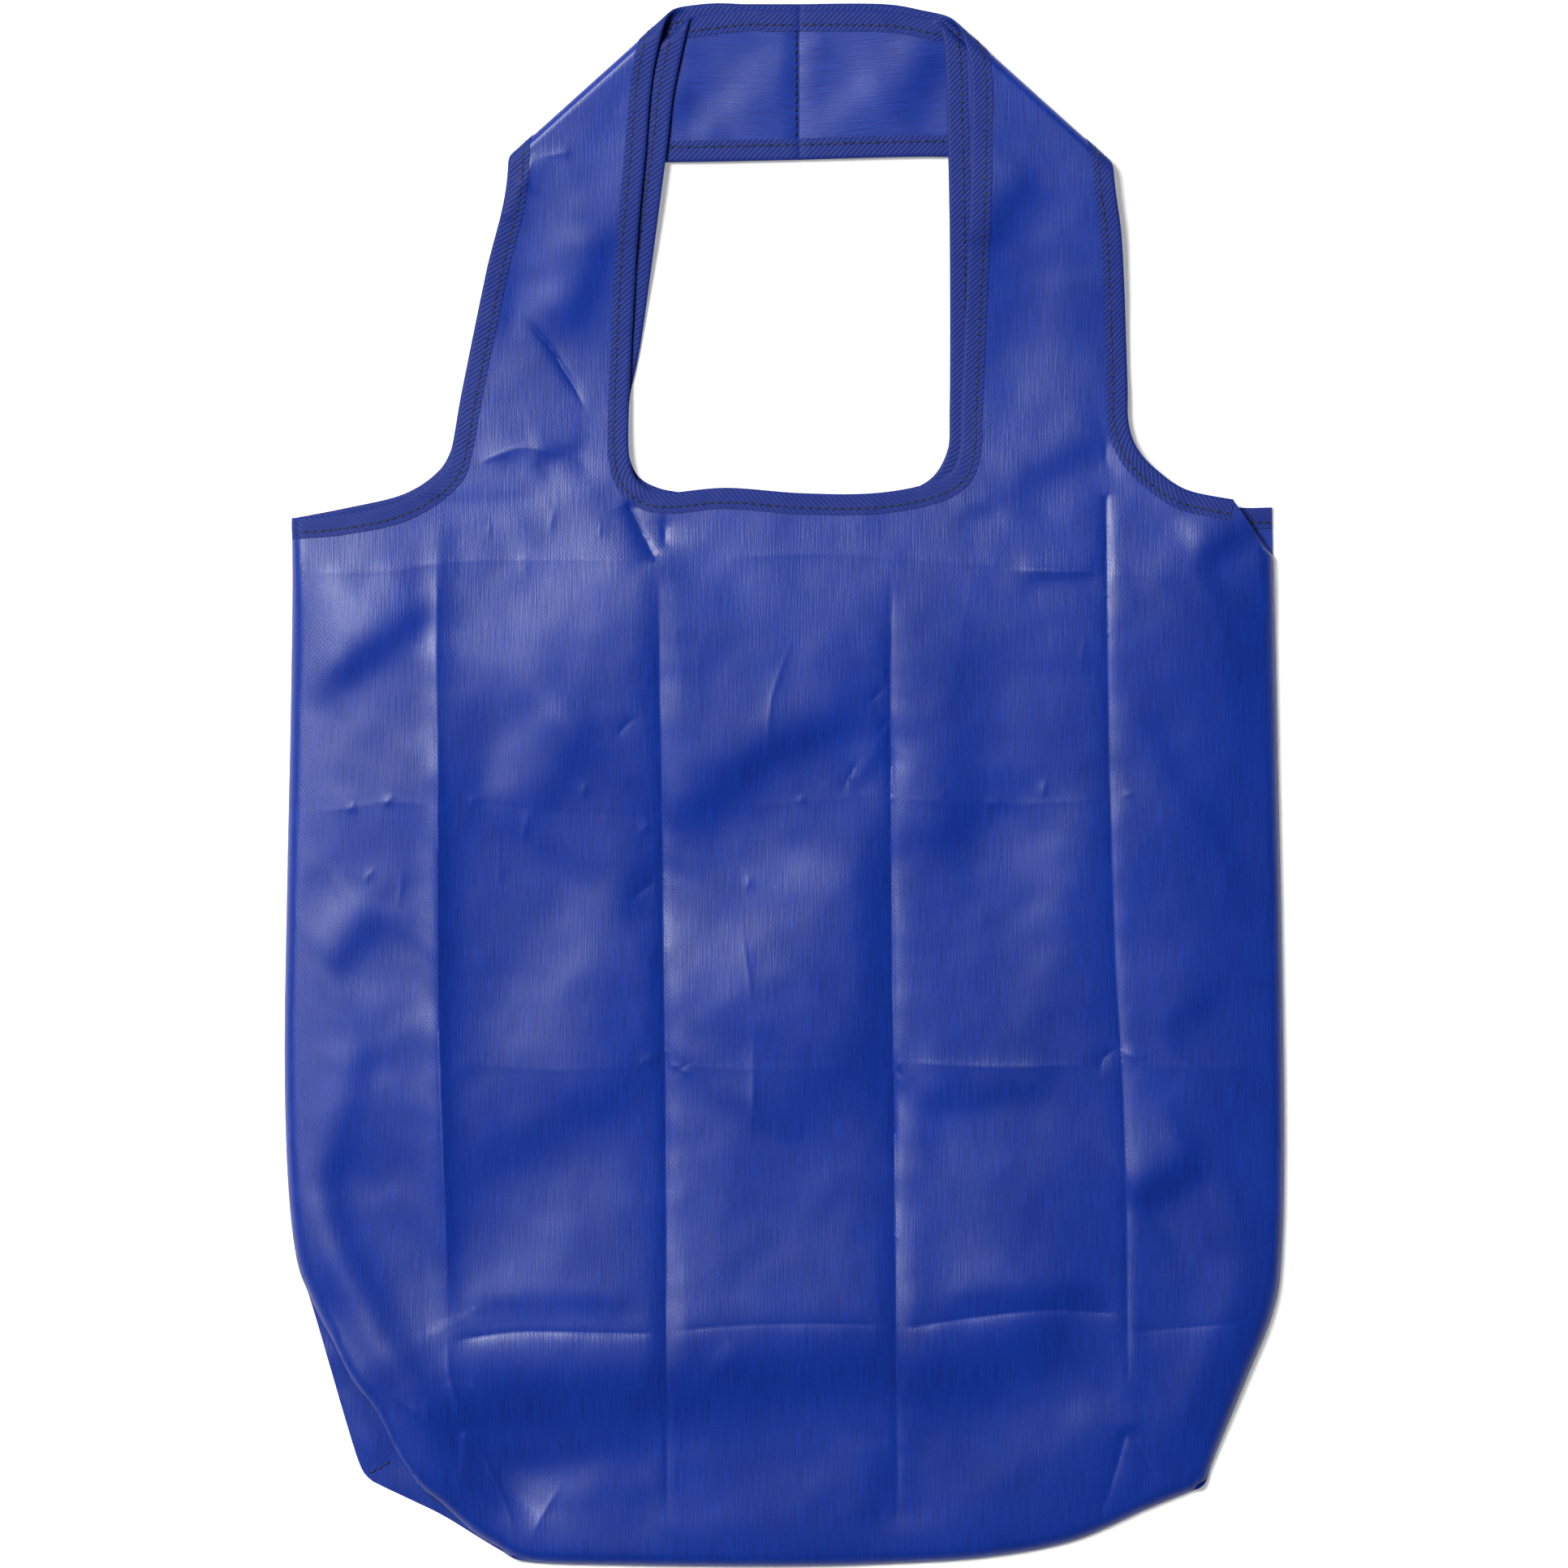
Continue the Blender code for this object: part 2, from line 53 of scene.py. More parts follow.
# Body of the bag, measured up from its bottom edge, and the height that lies at y = 0
HALF_WIDTH = 0.190
SHOULDER_Y = 0.3982
NECK_Y = 0.4075
CORNER_Y = 0.0315
MIDDLE_Y = 0.29734

# Straps: where their edges run at the waist, and the loops that they make
WAIST_Y = 0.442
LEFT_OUTER_X = -0.1265
LEFT_INNER_X = -0.0595
RIGHT_INNER_X = 0.0677
RIGHT_OUTER_X = 0.1290
SEAM_X = 0.0057
BAND_LOW_Y = 0.5355
BAND_WIDTH = 0.0572
LOOP_STAGGER = 0.0012
FOLD_ANGLE = math.radians(42.0)

# Cloth, tape and thread
CLOTH_T = 0.0004
TAPE_T = 0.00028
TAPE_W = 0.0076
TAPE_REACH = 0.00035
TAPE_LIFT = 0.00040
STITCH_IN = 0.0052
STITCH_LONG = 0.0023
STITCH_PITCH = 0.0031
STITCH_START = 0.0008
THREAD_R = 0.00034
SEAM_DIP = 0.00045
SEAM_REACH = 0.0014

# Heights of the layers, as in the model
HEM_Z = 0.00085
LAYER = 0.0019
PANEL_GAP = 0.0007
PUFF = 0.0038
RIM_WIDTH = 0.045
ROLL_RISE = 0.0048
# Towards the bottom edge the front lies lower
FOOT_SHARE = 0.72
FOOT_START_Y = 0.020
FOOT_END_Y = 0.078
# The front comes down on the back softly, over this height
REST_SOFT = 0.0008
RELIEF_MARGIN = 0.022
ROLL_WIDTH = 0.0044
# At its very edge the front lies closer to the back: share of the gap, and over which width
EDGE_GAP_SHARE = 0.35
EDGE_GAP_WIDTH = 0.001
# Creases and folds sink no deeper than this above the neckline
SINK_MOST = 0.0008
# Unevenness of the cloth: wave length, height and seed
FINE_WAVES = (0.011, 0.00016, 3.0)
BROAD_WAVES = (0.042, 0.0006, 5.0)
BACK_WAVES = (0.045, 0.0009, 7.0)
BACK_RELIEF_MARGIN = 0.02
# Ruffle of the tapes along their length
RUFFLE_LONG = 0.006
RUFFLE_HIGH = 0.00007

# Colours of cloth, tape and thread, from their darker to their lighter yarns
CLOTH_DARK = (0.0010, 0.0190, 0.205)
CLOTH_LIGHT = (0.0040, 0.0355, 0.338)
TAPE_DARK = (0.0060, 0.0190, 0.170)
TAPE_LIGHT = (0.0125, 0.0320, 0.235)
THREAD_DARK = (0.0007, 0.0034, 0.024)
THREAD_LIGHT = (0.0018, 0.0080, 0.054)

# Mesh steps
EDGE_STEP = 0.0022
HEM_STEP = 0.0011
RIM_STEP = 0.0066
RIM_ROWS = (0.0005, 0.0012, 0.0022, 0.0035, 0.0052)
OPEN_STEP = 0.0031
NEAR_STEP = 0.0015
SEAM_POINTS = 24
# Edges of the mesh that run along a strap's fold: facets round it, rows just before and after
# it, step along them, and how far they run past the strap on both sides
FOLD_FACETS = 12
FOLD_EASE = 0.0009
FOLD_STEP = 0.0030
FOLD_BEFORE = 0.020
FOLD_AFTER = 0.028
# The front's creases die away over this distance before a strap's fold
FOLD_MARGIN = 0.012
RIM_ANGLE = math.radians(55)
# Rows beside a crease, as shares of its width, with the least width and the farthest row
ROW_SHARES = (0.6, 1.3, 2.2)
ROW_LEAST = 0.0030
ROW_MOST = 0.016
# Points are left out that lie closer than this to others; between the rows as a share of a step
ROW_APART = 0.00055
RIM_APART = 0.0005
OPEN_APART = 0.55
SCATTER_CELL = 0.0015
BACK_COARSER = 1.5
# Rows of even triangles are this share of a step apart
TRIANGLE_RISE = 0.866
# Patch over which the cloth's slope is taken
PROBE = 0.0005

# Places that follow
FOLD_Y = BAND_LOW_Y + 0.0037
LEFT_FOLD_X = LEFT_OUTER_X + 0.030
RIGHT_FOLD_X = RIGHT_OUTER_X - 0.015
HEM_RISE_START = SHOULDER_Y - 0.053
HEM_RISE_END = SHOULDER_Y - 0.012
STRAP_RISE_START = WAIST_Y + 0.016
STRAP_RISE_END = BAND_LOW_Y - 0.0095
MOUTH_START_Y = SHOULDER_Y - 0.055
MOUTH_END_Y = WAIST_Y + 0.028
# The front rises to its hems over a longer way than the back
LONG_RISE_START = SHOULDER_Y - 0.160
BAND_TOP_Y = BAND_LOW_Y + BAND_WIDTH

# Studio: a camera straight above, with the photograph's scale at one height over the floor,
# one soft window at the upper left, and weak light from the sides
CAMERA_Z = 4.0
TRUE_SCALE_Z = 0.006
SENSOR_MM = 36.0
WINDOW_PLACE = (-1.65, 1.31, 3.39)
WINDOW_SIZE = 1.5
WINDOW_POWER = 188
WORLD_SIDE = 0.05
WORLD_TOP = 0.02
WORLD_FADE = (0.25, 0.80)
FLOOR_REACH = 6.0
FLOOR_GLOW = 0.30
WALL_REACH = 5.0
WALL_HEIGHT = 3.2
WALL_GLOW = 0.05

# Pressed creases of the front: photo points drawn up or to the right, widths in pixels on the
# left and right of the line, steepest slope. A positive slope stands up, a negative one sinks.
CREASES = (
    (((552, 1640), (549, 1500), (545, 1390), (541, 1250), (540, 1090), (540, 960), (538, 800),
      (540, 660)), 12, 18, 0.13),
    (((551, 1640), (546, 1410), (541, 1250), (540, 1110), (540, 960), (539, 830)), 46, 26, 0.17, 0.3),
    (((635, 1916), (629, 1873), (609, 1822), (576, 1763), (555, 1700), (552, 1640)), 7, 12, 0.09),
    (((822, 1915), (821, 1640), (821, 1480), (820, 1310), (817, 1150), (816, 1000), (813, 850),
      (811, 700)), 16, 18, -0.17),
    (((821, 1600), (820, 1400), (818, 1250), (817, 1080), (814, 880)), 24, 36, -0.09, 0.3),
    (((1107, 1920), (1104, 1640), (1103, 1480), (1101, 1310), (1099, 1160), (1098, 1000),
      (1097, 850), (1098, 690)), 20, 16, -0.17),
    (((1103, 1620), (1101, 1400), (1099, 1200), (1098, 1060), (1098, 900)), 36, 12, -0.07, 0.3),
    (((1098, 985), (1097, 870)), 14, 26, -0.12, 0.5),
    (((1102, 1450), (1101, 1290)), 12, 24, -0.12, 0.5),
    (((1392, 1755), (1389, 1640), (1388, 1480), (1383, 1330), (1375, 1200), (1370, 1060),
      (1366, 900), (1364, 750), (1363, 545)), 20, 8, -0.16),
    (((365, 706), (470, 704), (563, 692), (700, 690), (806, 692)), 12, 12, 0.035),
    (((880, 688), (1010, 682), (1100, 687), (1176, 693), (1291, 700), (1358, 706), (1470, 713)),
     10, 15, 0.05),
    (((1215, 703), (1290, 704), (1366, 707)), 6, 20, 0.08, 0.4),
    (((372, 1001), (430, 996), (480, 988), (535, 992)), 10, 12, 0.02),
    (((560, 985), (690, 1000), (812, 1006)), 12, 10, -0.015),
    (((824, 1000), (1000, 987), (1096, 978)), 10, 10, 0.015),
    (((1106, 984), (1240, 990), (1362, 985)), 12, 14, 0.03),
    (((556, 1308), (690, 1318), (815, 1310)), 14, 14, 0.02),
    (((826, 1311), (960, 1318), (1096, 1309)), 12, 14, 0.02),
    (((1108, 1308), (1230, 1314), (1350, 1311)), 6, 24, 0.07, 0.3),
    (((1392, 1310), (1480, 1316), (1572, 1318)), 12, 14, 0.03),
    (((556, 1652), (640, 1641), (740, 1642), (816, 1643)), 16, 6, -0.12),
    (((828, 1640), (900, 1633), (1000, 1630), (1098, 1632)), 12, 6, -0.07),
    (((1108, 1637), (1200, 1623), (1290, 1614), (1384, 1619)), 18, 6, -0.13),
    (((1392, 1641), (1480, 1634), (1552, 1628)), 10, 8, -0.07),
    (((724, 515), (712, 484), (693, 453), (678, 428), (659, 406), (640, 381)), 5, 4, -0.34, 0.4),
    (((622, 272), (647, 220)), 10, 12, 0.16),
    (((640, 233), (661, 187)), 8, 10, 0.2),
    (((659, 195), (703, 187)), 6, 8, 0.1),
    (((576, 579), (612, 561), (646, 551), (684, 559), (722, 577)), 9, 14, 0.08, 0.3),
    (((809, 693), (790, 655), (772, 617)), 8, 14, -0.28),
    (((819, 682), (820, 628)), 12, 18, -0.14, 0.4),
    (((1363, 720), (1363, 640), (1363, 534)), 12, 8, -0.08),
    (((555, 1700), (566, 1735), (576, 1763)), 8, 10, 0.08),
    (((569, 1831), (573, 1763)), 10, 12, 0.16),
    (((560, 1775), (520, 1745), (482, 1718)), 7, 8, 0.08),
    (((1350, 1890), (1372, 1820), (1390, 1755)), 10, 12, -0.18),
    (((1430, 1832), (1408, 1790), (1390, 1755)), 10, 10, -0.14),
    (((647, 1915), (668, 1868), (697, 1822)), 12, 8, 0.07, 0.4),
)
# Soft folds are made this much steeper than listed
FOLD_GAIN = 1.15
# A fold's gentle flanks end this many times its half width from its line
FOLD_REACH = 5.0
# Each crease has a thin line pressed along its middle, steeper than the crease
LINE_WIDTH = 0.0009
LINE_GAIN = 1.3
LINE_ROW = 0.8
PINCH_GAIN = 0.38
# A crease ends this many times its wider width from its line
CREASE_REACH = 6
# Steps along the lines of creases and folds, and the shares of their length that taper out
CREASE_STEP = 0.004
SOFT_STEP = 0.006
PINCH_END = 0.45
BAND_END = 0.3
# Soft folds are held flat along these pressed columns, to this distance
CELL_COLUMNS = (0, 3, 5, 9)
HOLD_LEAST = 0.75
CELL_WIDTH = 0.008
# Small sharp pinches and wrinkles: photo points, width in pixels, slope
PINCHES = (
    (((472, 995), (480, 986), (487, 979)), 6, 0.3),
    (((427, 1001), (440, 989)), 5, 0.24),
    (((449, 1091), (455, 1078), (465, 1068)), 5, 0.22),
    (((491, 1126), (494, 1095), (497, 1065)), 6, 0.16),
    (((577, 976), (587, 989), (596, 980)), 6, 0.28),
    (((644, 1046), (648, 1016), (656, 989)), 6, 0.26),
    (((717, 985), (723, 960)), 6, 0.24),
    (((787, 1030), (797, 1016), (806, 1014)), 7, 0.3),
    (((784, 1314), (800, 1304), (819, 1298)), 8, 0.3),
    (((615, 1097), (615, 1059)), 5, 0.14),
    (((799, 1247), (801, 1164)), 5, 0.14),
    (((947, 977), (947, 925), (949, 871), (963, 822), (984, 773)), 6, 0.2),
    (((926, 1420), (928, 1340), (929, 1252)), 10, 0.24),
    (((929, 1252), (921, 1190), (911, 1134)), 6, 0.18),
    (((917, 1098), (924, 1088), (919, 1075)), 5, 0.26),
    (((1035, 982), (1047, 955), (1062, 929)), 10, -0.26),
    (((986, 991), (989, 979)), 5, 0.28),
    (((1160, 973), (1166, 983)), 5, 0.24),
    (((1213, 986), (1233, 994)), 6, 0.22),
    (((1284, 986), (1288, 957)), 6, 0.28),
    (((1331, 835), (1334, 800), (1343, 773)), 6, 0.14),
    (((1356, 1329), (1357, 1305), (1379, 1290)), 9, -0.4),
    (((1379, 1290), (1396, 1302), (1417, 1300)), 8, 0.26),
    (((1088, 1304), (1102, 1316), (1116, 1332)), 8, -0.34),
    (((1092, 1333), (1102, 1316), (1114, 1303)), 8, 0.3),
    (((820, 1309), (838, 1316), (855, 1328)), 7, 0.24),
    (((827, 1330), (838, 1316), (858, 1306)), 6, -0.2),
    (((1066, 872), (1080, 856), (1096, 840)), 8, -0.26),
    (((1080, 908), (1097, 880)), 7, -0.26),
    (((771, 1119), (790, 1098), (816, 1081)), 9, -0.24),
    (((757, 914), (772, 893), (790, 880)), 8, -0.24),
    (((1512, 888), (1530, 872)), 6, 0.14),
    (((1500, 1316), (1530, 1310), (1560, 1316)), 6, 0.14),
    (((600, 668), (604, 640)), 6, 0.1),
    (((676, 660), (684, 622)), 6, 0.12),
    (((736, 668), (742, 640)), 6, 0.1),
    (((560, 716), (560, 680)), 6, 0.12),
    (((647, 716), (647, 676)), 6, 0.12),
    (((568, 1704), (585, 1712), (605, 1727)), 7, 0.22),
    (((1540, 985), (1558, 975), (1572, 968)), 6, 0.16),
    (((1378, 982), (1400, 976)), 6, 0.16),
    (((858, 766), (864, 900)), 5, 0.05),
    (((1180, 800), (1200, 700)), 6, 0.05),
    (((880, 640), (900, 560)), 6, 0.08),
)
# Soft folds: photo points drawn up or to the right, half width in pixels, slope of the middle.
# A positive slope falls away from the window light and lies dark, a negative one lies bright.
FOLDS = (
    (((350, 882), (450, 812), (560, 735)), 30, 0.17),
    (((440, 1010), (490, 940), (550, 880)), 45, -0.03),
    (((345, 1110), (400, 1065)), 24, 0.08),
    (((395, 1200), (440, 1165), (480, 1120)), 28, 0.13),
    (((400, 1480), (425, 1410), (445, 1330), (455, 1270)), 24, 0.12),
    (((655, 1950), (568, 1800), (476, 1625), (406, 1490), (362, 1380)), 56, 0.28, 0.2),
    (((580, 870), (670, 750), (760, 620)), 110, -0.07),
    (((575, 1000), (585, 900), (600, 840)), 24, 0.05),
    (((655, 1025), (700, 950), (745, 870)), 34, 0.08),
    (((760, 1150), (790, 1090), (815, 1040)), 26, 0.08),
    (((585, 1000), (640, 930), (690, 850)), 44, -0.06),
    (((600, 1330), (680, 1190), (760, 1060)), 80, -0.07),
    (((553, 1440), (620, 1420), (700, 1385), (812, 1320)), 40, 0.09),
    (((600, 1600), (690, 1510), (790, 1430)), 70, -0.035),
    (((560, 1612), (690, 1606), (812, 1612)), 14, 0.12),
    (((470, 1780), (600, 1736), (690, 1728), (800, 1722), (850, 1710), (960, 1696), (1090, 1688),
      (1130, 1704), (1200, 1692), (1290, 1652), (1370, 1610)), 58, 0.23, 0.12),
    (((600, 1800), (690, 1790), (800, 1770)), 24, 0.08, 0.1),
    (((640, 1888), (720, 1880), (812, 1872)), 18, 0.07, 0.3),
    (((842, 1730), (870, 1690), (905, 1645)), 13, -0.12),
    (((650, 1880), (730, 1855), (815, 1840)), 30, 0.04),
    (((815, 1030), (880, 985), (950, 930), (1090, 875)), 36, 0.17),
    (((1040, 975), (1070, 950), (1095, 915)), 14, 0.1),
    (((850, 1260), (930, 1150), (1030, 1020)), 90, -0.06),
    (((1075, 1400), (1078, 1230), (1075, 1000)), 26, 0.09),
    (((950, 1420), (1010, 1340), (1090, 1270)), 60, 0.1),
    (((865, 1590), (875, 1440), (880, 1290)), 40, -0.045),
    (((835, 1870), (950, 1840), (1080, 1800)), 46, -0.035),
    (((1080, 1890), (1090, 1830), (1095, 1770)), 20, 0.1),
    (((1250, 716), (1300, 711), (1362, 704)), 10, 0.12),
    (((1170, 1080), (1185, 950), (1200, 760)), 46, 0.08),
    (((1150, 1060), (1190, 1020), (1215, 970)), 30, 0.06),
    (((1270, 1270), (1290, 1110), (1300, 940)), 50, -0.07),
    (((1120, 1360), (1210, 1350), (1310, 1342)), 28, 0.12),
    (((1150, 1608), (1260, 1600), (1370, 1592)), 18, 0.17),
    (((1130, 1860), (1250, 1790), (1380, 1720)), 50, -0.045),
    (((1390, 720), (1440, 680), (1510, 640)), 34, -0.05),
    (((1470, 694), (1520, 668), (1562, 652)), 22, 0.18),
    (((1565, 1120), (1471, 986), (1420, 905), (1378, 845)), 26, 0.12),
    (((1430, 1285), (1470, 1245), (1505, 1205)), 28, 0.09),
    (((1390, 1490), (1435, 1460), (1490, 1430)), 28, 0.24),
    (((1410, 1800), (1470, 1660), (1550, 1520)), 66, -0.1),
    (((1366, 548), (1390, 588), (1420, 614), (1462, 640)), 14, 0.12),
    (((650, 420), (680, 310), (706, 216)), 40, -0.06),
    (((700, 410), (730, 350), (750, 280)), 22, 0.12),
    (((616, 420), (628, 320)), 14, 0.1),
    (((1205, 320), (1240, 262), (1284, 206)), 30, 0.14),
    (((1270, 510), (1290, 410), (1306, 306)), 40, -0.06),
    (((1240, 612), (1306, 570), (1370, 536)), 26, 0.13),
    (((1176, 640), (1236, 618)), 12, 0.12),
    (((655, 566), (725, 545)), 14, 0.12),
    (((600, 640), (680, 600), (760, 590)), 30, -0.06),
)

# Thread of the back loop's seam, and of the boxed corner's cross seam beside the front's edge
SEAM_THREAD_IN = 0.0014
SEAM_THREAD_LIFT = 0.0005
CORNER_SEAM = ((453, 1817), (470, 1808), (486, 1797))
# Raised edge of the front at the lower left corner, and the side's fold that lies outside it
RIM_RISES = (
    (((600, 1898), (564, 1871), (523, 1835), (493, 1797), (472, 1761), (447, 1718), (425, 1680),
      (400, 1600)), 16, 60, 0.36, 0.35),
)
BACK_RISES = (
    (((474, 1812), (447, 1755), (419, 1700), (400, 1640)), 8, 9, 0.3),
    (((545, 1860), (505, 1832), (474, 1812)), 8, 8, 0.24),
)
# Wrinkles of the band between the handles, where its turned stretch lies
BAND_CREASES = (
    (((858, 167), (887, 159)), 7, 7, 0.22),
    (((868, 100), (925, 84), (978, 78)), 7, 8, 0.12),
    (((986, 64), (1014, 60)), 6, 6, 0.14),
    (((1108, 150), (1150, 120)), 8, 8, 0.08),
)
BAND_FOLDS = (
    (((832, 156), (844, 124), (856, 92)), 16, 0.14),
    (((812, 50), (850, 34)), 12, -0.14),
    (((1096, 52), (1130, 38), (1160, 28)), 14, -0.12),
    (((1100, 150), (1135, 104), (1168, 58)), 26, 0.12),
    (((880, 130), (930, 96), (976, 60)), 24, -0.08),
    (((996, 160), (1040, 124), (1086, 90)), 26, -0.07),
)


def at(u, v):
    """Flat place of a photo pixel."""
    return (u - PHOTO_MID_U) * PHOTO_PX, (PHOTO_BASE_V - v) * PHOTO_PX


def ease(t):
    t = np.clip(t, 0.0, 1.0)
    return t * t * (3 - 2 * t)


def path_reach(line):
    """How far along a polyline each of its points lies."""
    return np.concatenate(([0.0], np.cumsum(np.hypot(*np.diff(line, axis=0).T))))


def on_path(line, want):
    """Points that lie given distances along a polyline."""
    reach = path_reach(line)
    return np.column_stack([np.interp(want, reach, line[:, k]) for k in (0, 1)])


def resample(line, step):
    """Even points along a polyline, with both of its ends kept."""
    line = np.asarray(line, float)
    length = path_reach(line)[-1]
    return on_path(line, np.linspace(0, length, max(1, round(length / step)) + 1))


def spline(points, step):
    """Points a step apart along a smooth curve through the given ones."""
    p = np.asarray(points, float)
    p = np.vstack([p[:1], p, p[-1:]])
    t = np.linspace(0, 1, 24, endpoint=False)[:, None]
    dense = [0.5 * (2 * b + (c - a) * t + (2 * a - 5 * b + 4 * c - d) * t ** 2
                    + (3 * b - a - 3 * c + d) * t ** 3)
             for a, b, c, d in zip(p, p[1:], p[2:], p[3:])]
    return resample(np.vstack(dense + [p[-1:]]), step)


def offset(line, distance):
    """The same polyline moved to its left by a distance."""
    along = np.gradient(line, axis=0)
    along /= np.hypot(*along.T)[:, None]
    return line + np.column_stack((-along[:, 1], along[:, 0])) * distance


def nearest(xy, line):
    """Distance to a polyline, side of it (1 is left) and share of its length there."""
    line = np.asarray(line, float)
    steps = np.diff(line, axis=0)
    spans = np.hypot(*steps.T)
    starts = np.concatenate(([0.0], np.cumsum(spans)))
    best = np.full(len(xy), np.inf)
    side = np.ones(len(xy))
    share = np.zeros(len(xy))
    for corner, step, span, start in zip(line, steps, spans, starts):
        away = xy - corner
        t = np.clip(away @ step / span ** 2, 0, 1)
        gap = away - t[:, None] * step
        reach = np.hypot(gap[:, 0], gap[:, 1])
        near = reach < best
        best[near] = reach[near]
        side[near] = np.where(step[0] * away[near, 1] > step[1] * away[near, 0], 1.0, -1.0)
        share[near] = (start + t[near] * span) / starts[-1]
    return best, side, share


def inside(xy, loop):
    """Whether each point lies inside a closed outline."""
    hit = np.zeros(len(xy), bool)
    x, y = xy.T
    for (ax, ay), (bx, by) in zip(loop, np.roll(loop, -1, axis=0)):
        crosses = (ay > y) != (by > y)
        edge = ax + (y[crosses] - ay) * (bx - ax) / (by - ay)
        hit[crosses] ^= x[crosses] < edge
    return hit


def taper(share, end):
    return ease(share / end) * ease((1 - share) / end)


class Mark:
    """A line on the front cloth with a height across it."""

    def __init__(self, points, reach, step, end):
        self.line = spline([at(*p) for p in points], step)
        self.low = self.line.min(0) - reach * PHOTO_PX
        self.high = self.line.max(0) + reach * PHOTO_PX
        self.end = end

    def add_to(self, total, xy):
        near = np.all((xy > self.low) & (xy < self.high), axis=1)
        if near.any():
            gap, side, share = nearest(xy[near], self.line)
            total[near] += self.across(gap, side) * taper(share, self.end)


class Crease(Mark):
    """A sharp line that stands up or sinks, with its own width on either side."""

    def __init__(self, points, left, right, slope, end=0.12):
        super().__init__(points, CREASE_REACH * max(left, right), CREASE_STEP, end)
        self.widths = (left * PHOTO_PX, right * PHOTO_PX)
        self.height = slope * sum(self.widths) / 2
        self.line_height = LINE_GAIN * slope * LINE_WIDTH

    def across(self, gap, side):
        wide = self.height * np.exp(-gap / np.where(side > 0, *self.widths))
        return wide + self.line_height * np.exp(-gap / LINE_WIDTH)


class SoftFold(Mark):
    """A soft slope across a line, level again on both sides of it."""

    def __init__(self, points, half, slope, end=0.22):
        super().__init__(points, FOLD_REACH * half, SOFT_STEP, end)
        self.half = half * PHOTO_PX
        self.height = FOLD_GAIN * slope * self.half

    def across(self, gap, side):
        share = gap * side / self.half
        fade = 1 - ease((np.abs(share) - 1) / (FOLD_REACH - 1))
        return self.height * share / (1 + share ** 2) * fade


CREASE_MARKS = [Crease(*crease) for crease in CREASES]
PINCH_MARKS = [Crease(points, width, width, PINCH_GAIN * slope, PINCH_END)
               for points, width, slope in PINCHES]
FOLD_MARKS = [SoftFold(*fold) for fold in FOLDS]
RIM_MARKS = [Crease(*crease) for crease in RIM_RISES]
BACK_MARKS = [Crease(*crease) for crease in BACK_RISES]
BAND_MARKS = ([Crease(*crease, BAND_END) for crease in BAND_CREASES]
              + [SoftFold(*fold) for fold in BAND_FOLDS])


def marked(xy, marks):
    """Height that some marks give to points of the flat cloth."""
    total = np.zeros(len(xy))
    for mark in marks:
        mark.add_to(total, xy)
    return total


def relief(xy):
    """Creases, pinches and soft folds of the front panel."""
    hold = np.ones(len(xy))
    for k in CELL_COLUMNS:
        low = CREASE_MARKS[k].low[0] - CELL_WIDTH
        high = CREASE_MARKS[k].high[0] + CELL_WIDTH
        near = (xy[:, 0] > low) & (xy[:, 0] < high) & (xy[:, 1] < SHOULDER_Y)
        if near.any():
            gap = nearest(xy[near], CREASE_MARKS[k].line[::4])[0]
            hold[near] = np.minimum(hold[near], HOLD_LEAST + (1 - HOLD_LEAST) * ease(gap / CELL_WIDTH))
    return marked(xy, CREASE_MARKS) + marked(xy, PINCH_MARKS) + hold * marked(xy, FOLD_MARKS)


def ripple(xy, size, height, seed):
    """Gentle irregular unevenness, up and down."""
    return height * np.array([noise.noise((x / size, y / size, seed)) for x, y in xy])


def hem_share(y):
    """0 on the plain body, 1 where taped hems lie on each other."""
    return ease((y - HEM_RISE_START) / (HEM_RISE_END - HEM_RISE_START))


def back_height(y):
    strap = ease((y - STRAP_RISE_START) / (STRAP_RISE_END - STRAP_RISE_START))
    return CLOTH_T / 2 + (HEM_Z - CLOTH_T / 2) * hem_share(y) + 2 * LAYER * strap


class Fold:
    """A slanted line over which a strap is turned back and under itself."""

    def __init__(self, x, side, low_z, high_z):
        self.radius = (high_z - low_z) / 2
        self.axis_z = low_z + self.radius
        self.point = np.array((x, FOLD_Y))
        self.along = np.array((-side * math.cos(FOLD_ANGLE), math.sin(FOLD_ANGLE)))
        self.out = np.array((side * math.sin(FOLD_ANGLE), math.cos(FOLD_ANGLE)))

    def beyond(self, xy):
        return (xy - self.point) @ self.out

    def unfold(self, x, y):
        """Where a point of the turned stretch lies on the flat cloth."""
        here = np.array((x, y))
        return tuple(here + self.out * (math.pi * self.radius - 2 * self.beyond(here)))

    def turn(self, xy):
        """Places in space of points past the line on the flat cloth."""
        past = self.beyond(xy)
        foot = xy - past[:, None] * self.out
        arc = math.pi * self.radius
        angle = np.minimum(past / self.radius, math.pi)
        shift = self.radius * np.sin(angle) - np.maximum(0, past - arc)
        flat = foot + shift[:, None] * self.out
        dip = SEAM_DIP * np.exp(-np.abs(flat[:, 0] - SEAM_X) / SEAM_REACH)
        return np.column_stack((flat, self.axis_z + self.radius * np.cos(angle) - dip))

    def lines(self):
        result = []
        arc = math.pi * self.radius
        turned = [arc * k / FOLD_FACETS for k in range(FOLD_FACETS + 1)]
        for past in [-FOLD_EASE, *turned, arc + FOLD_EASE]:
            start = self.point + self.out * past
            ends = (start - self.along * FOLD_BEFORE,
                    start + self.along * (BAND_WIDTH + FOLD_AFTER))
            result.append(resample(ends, FOLD_STEP))
        return result


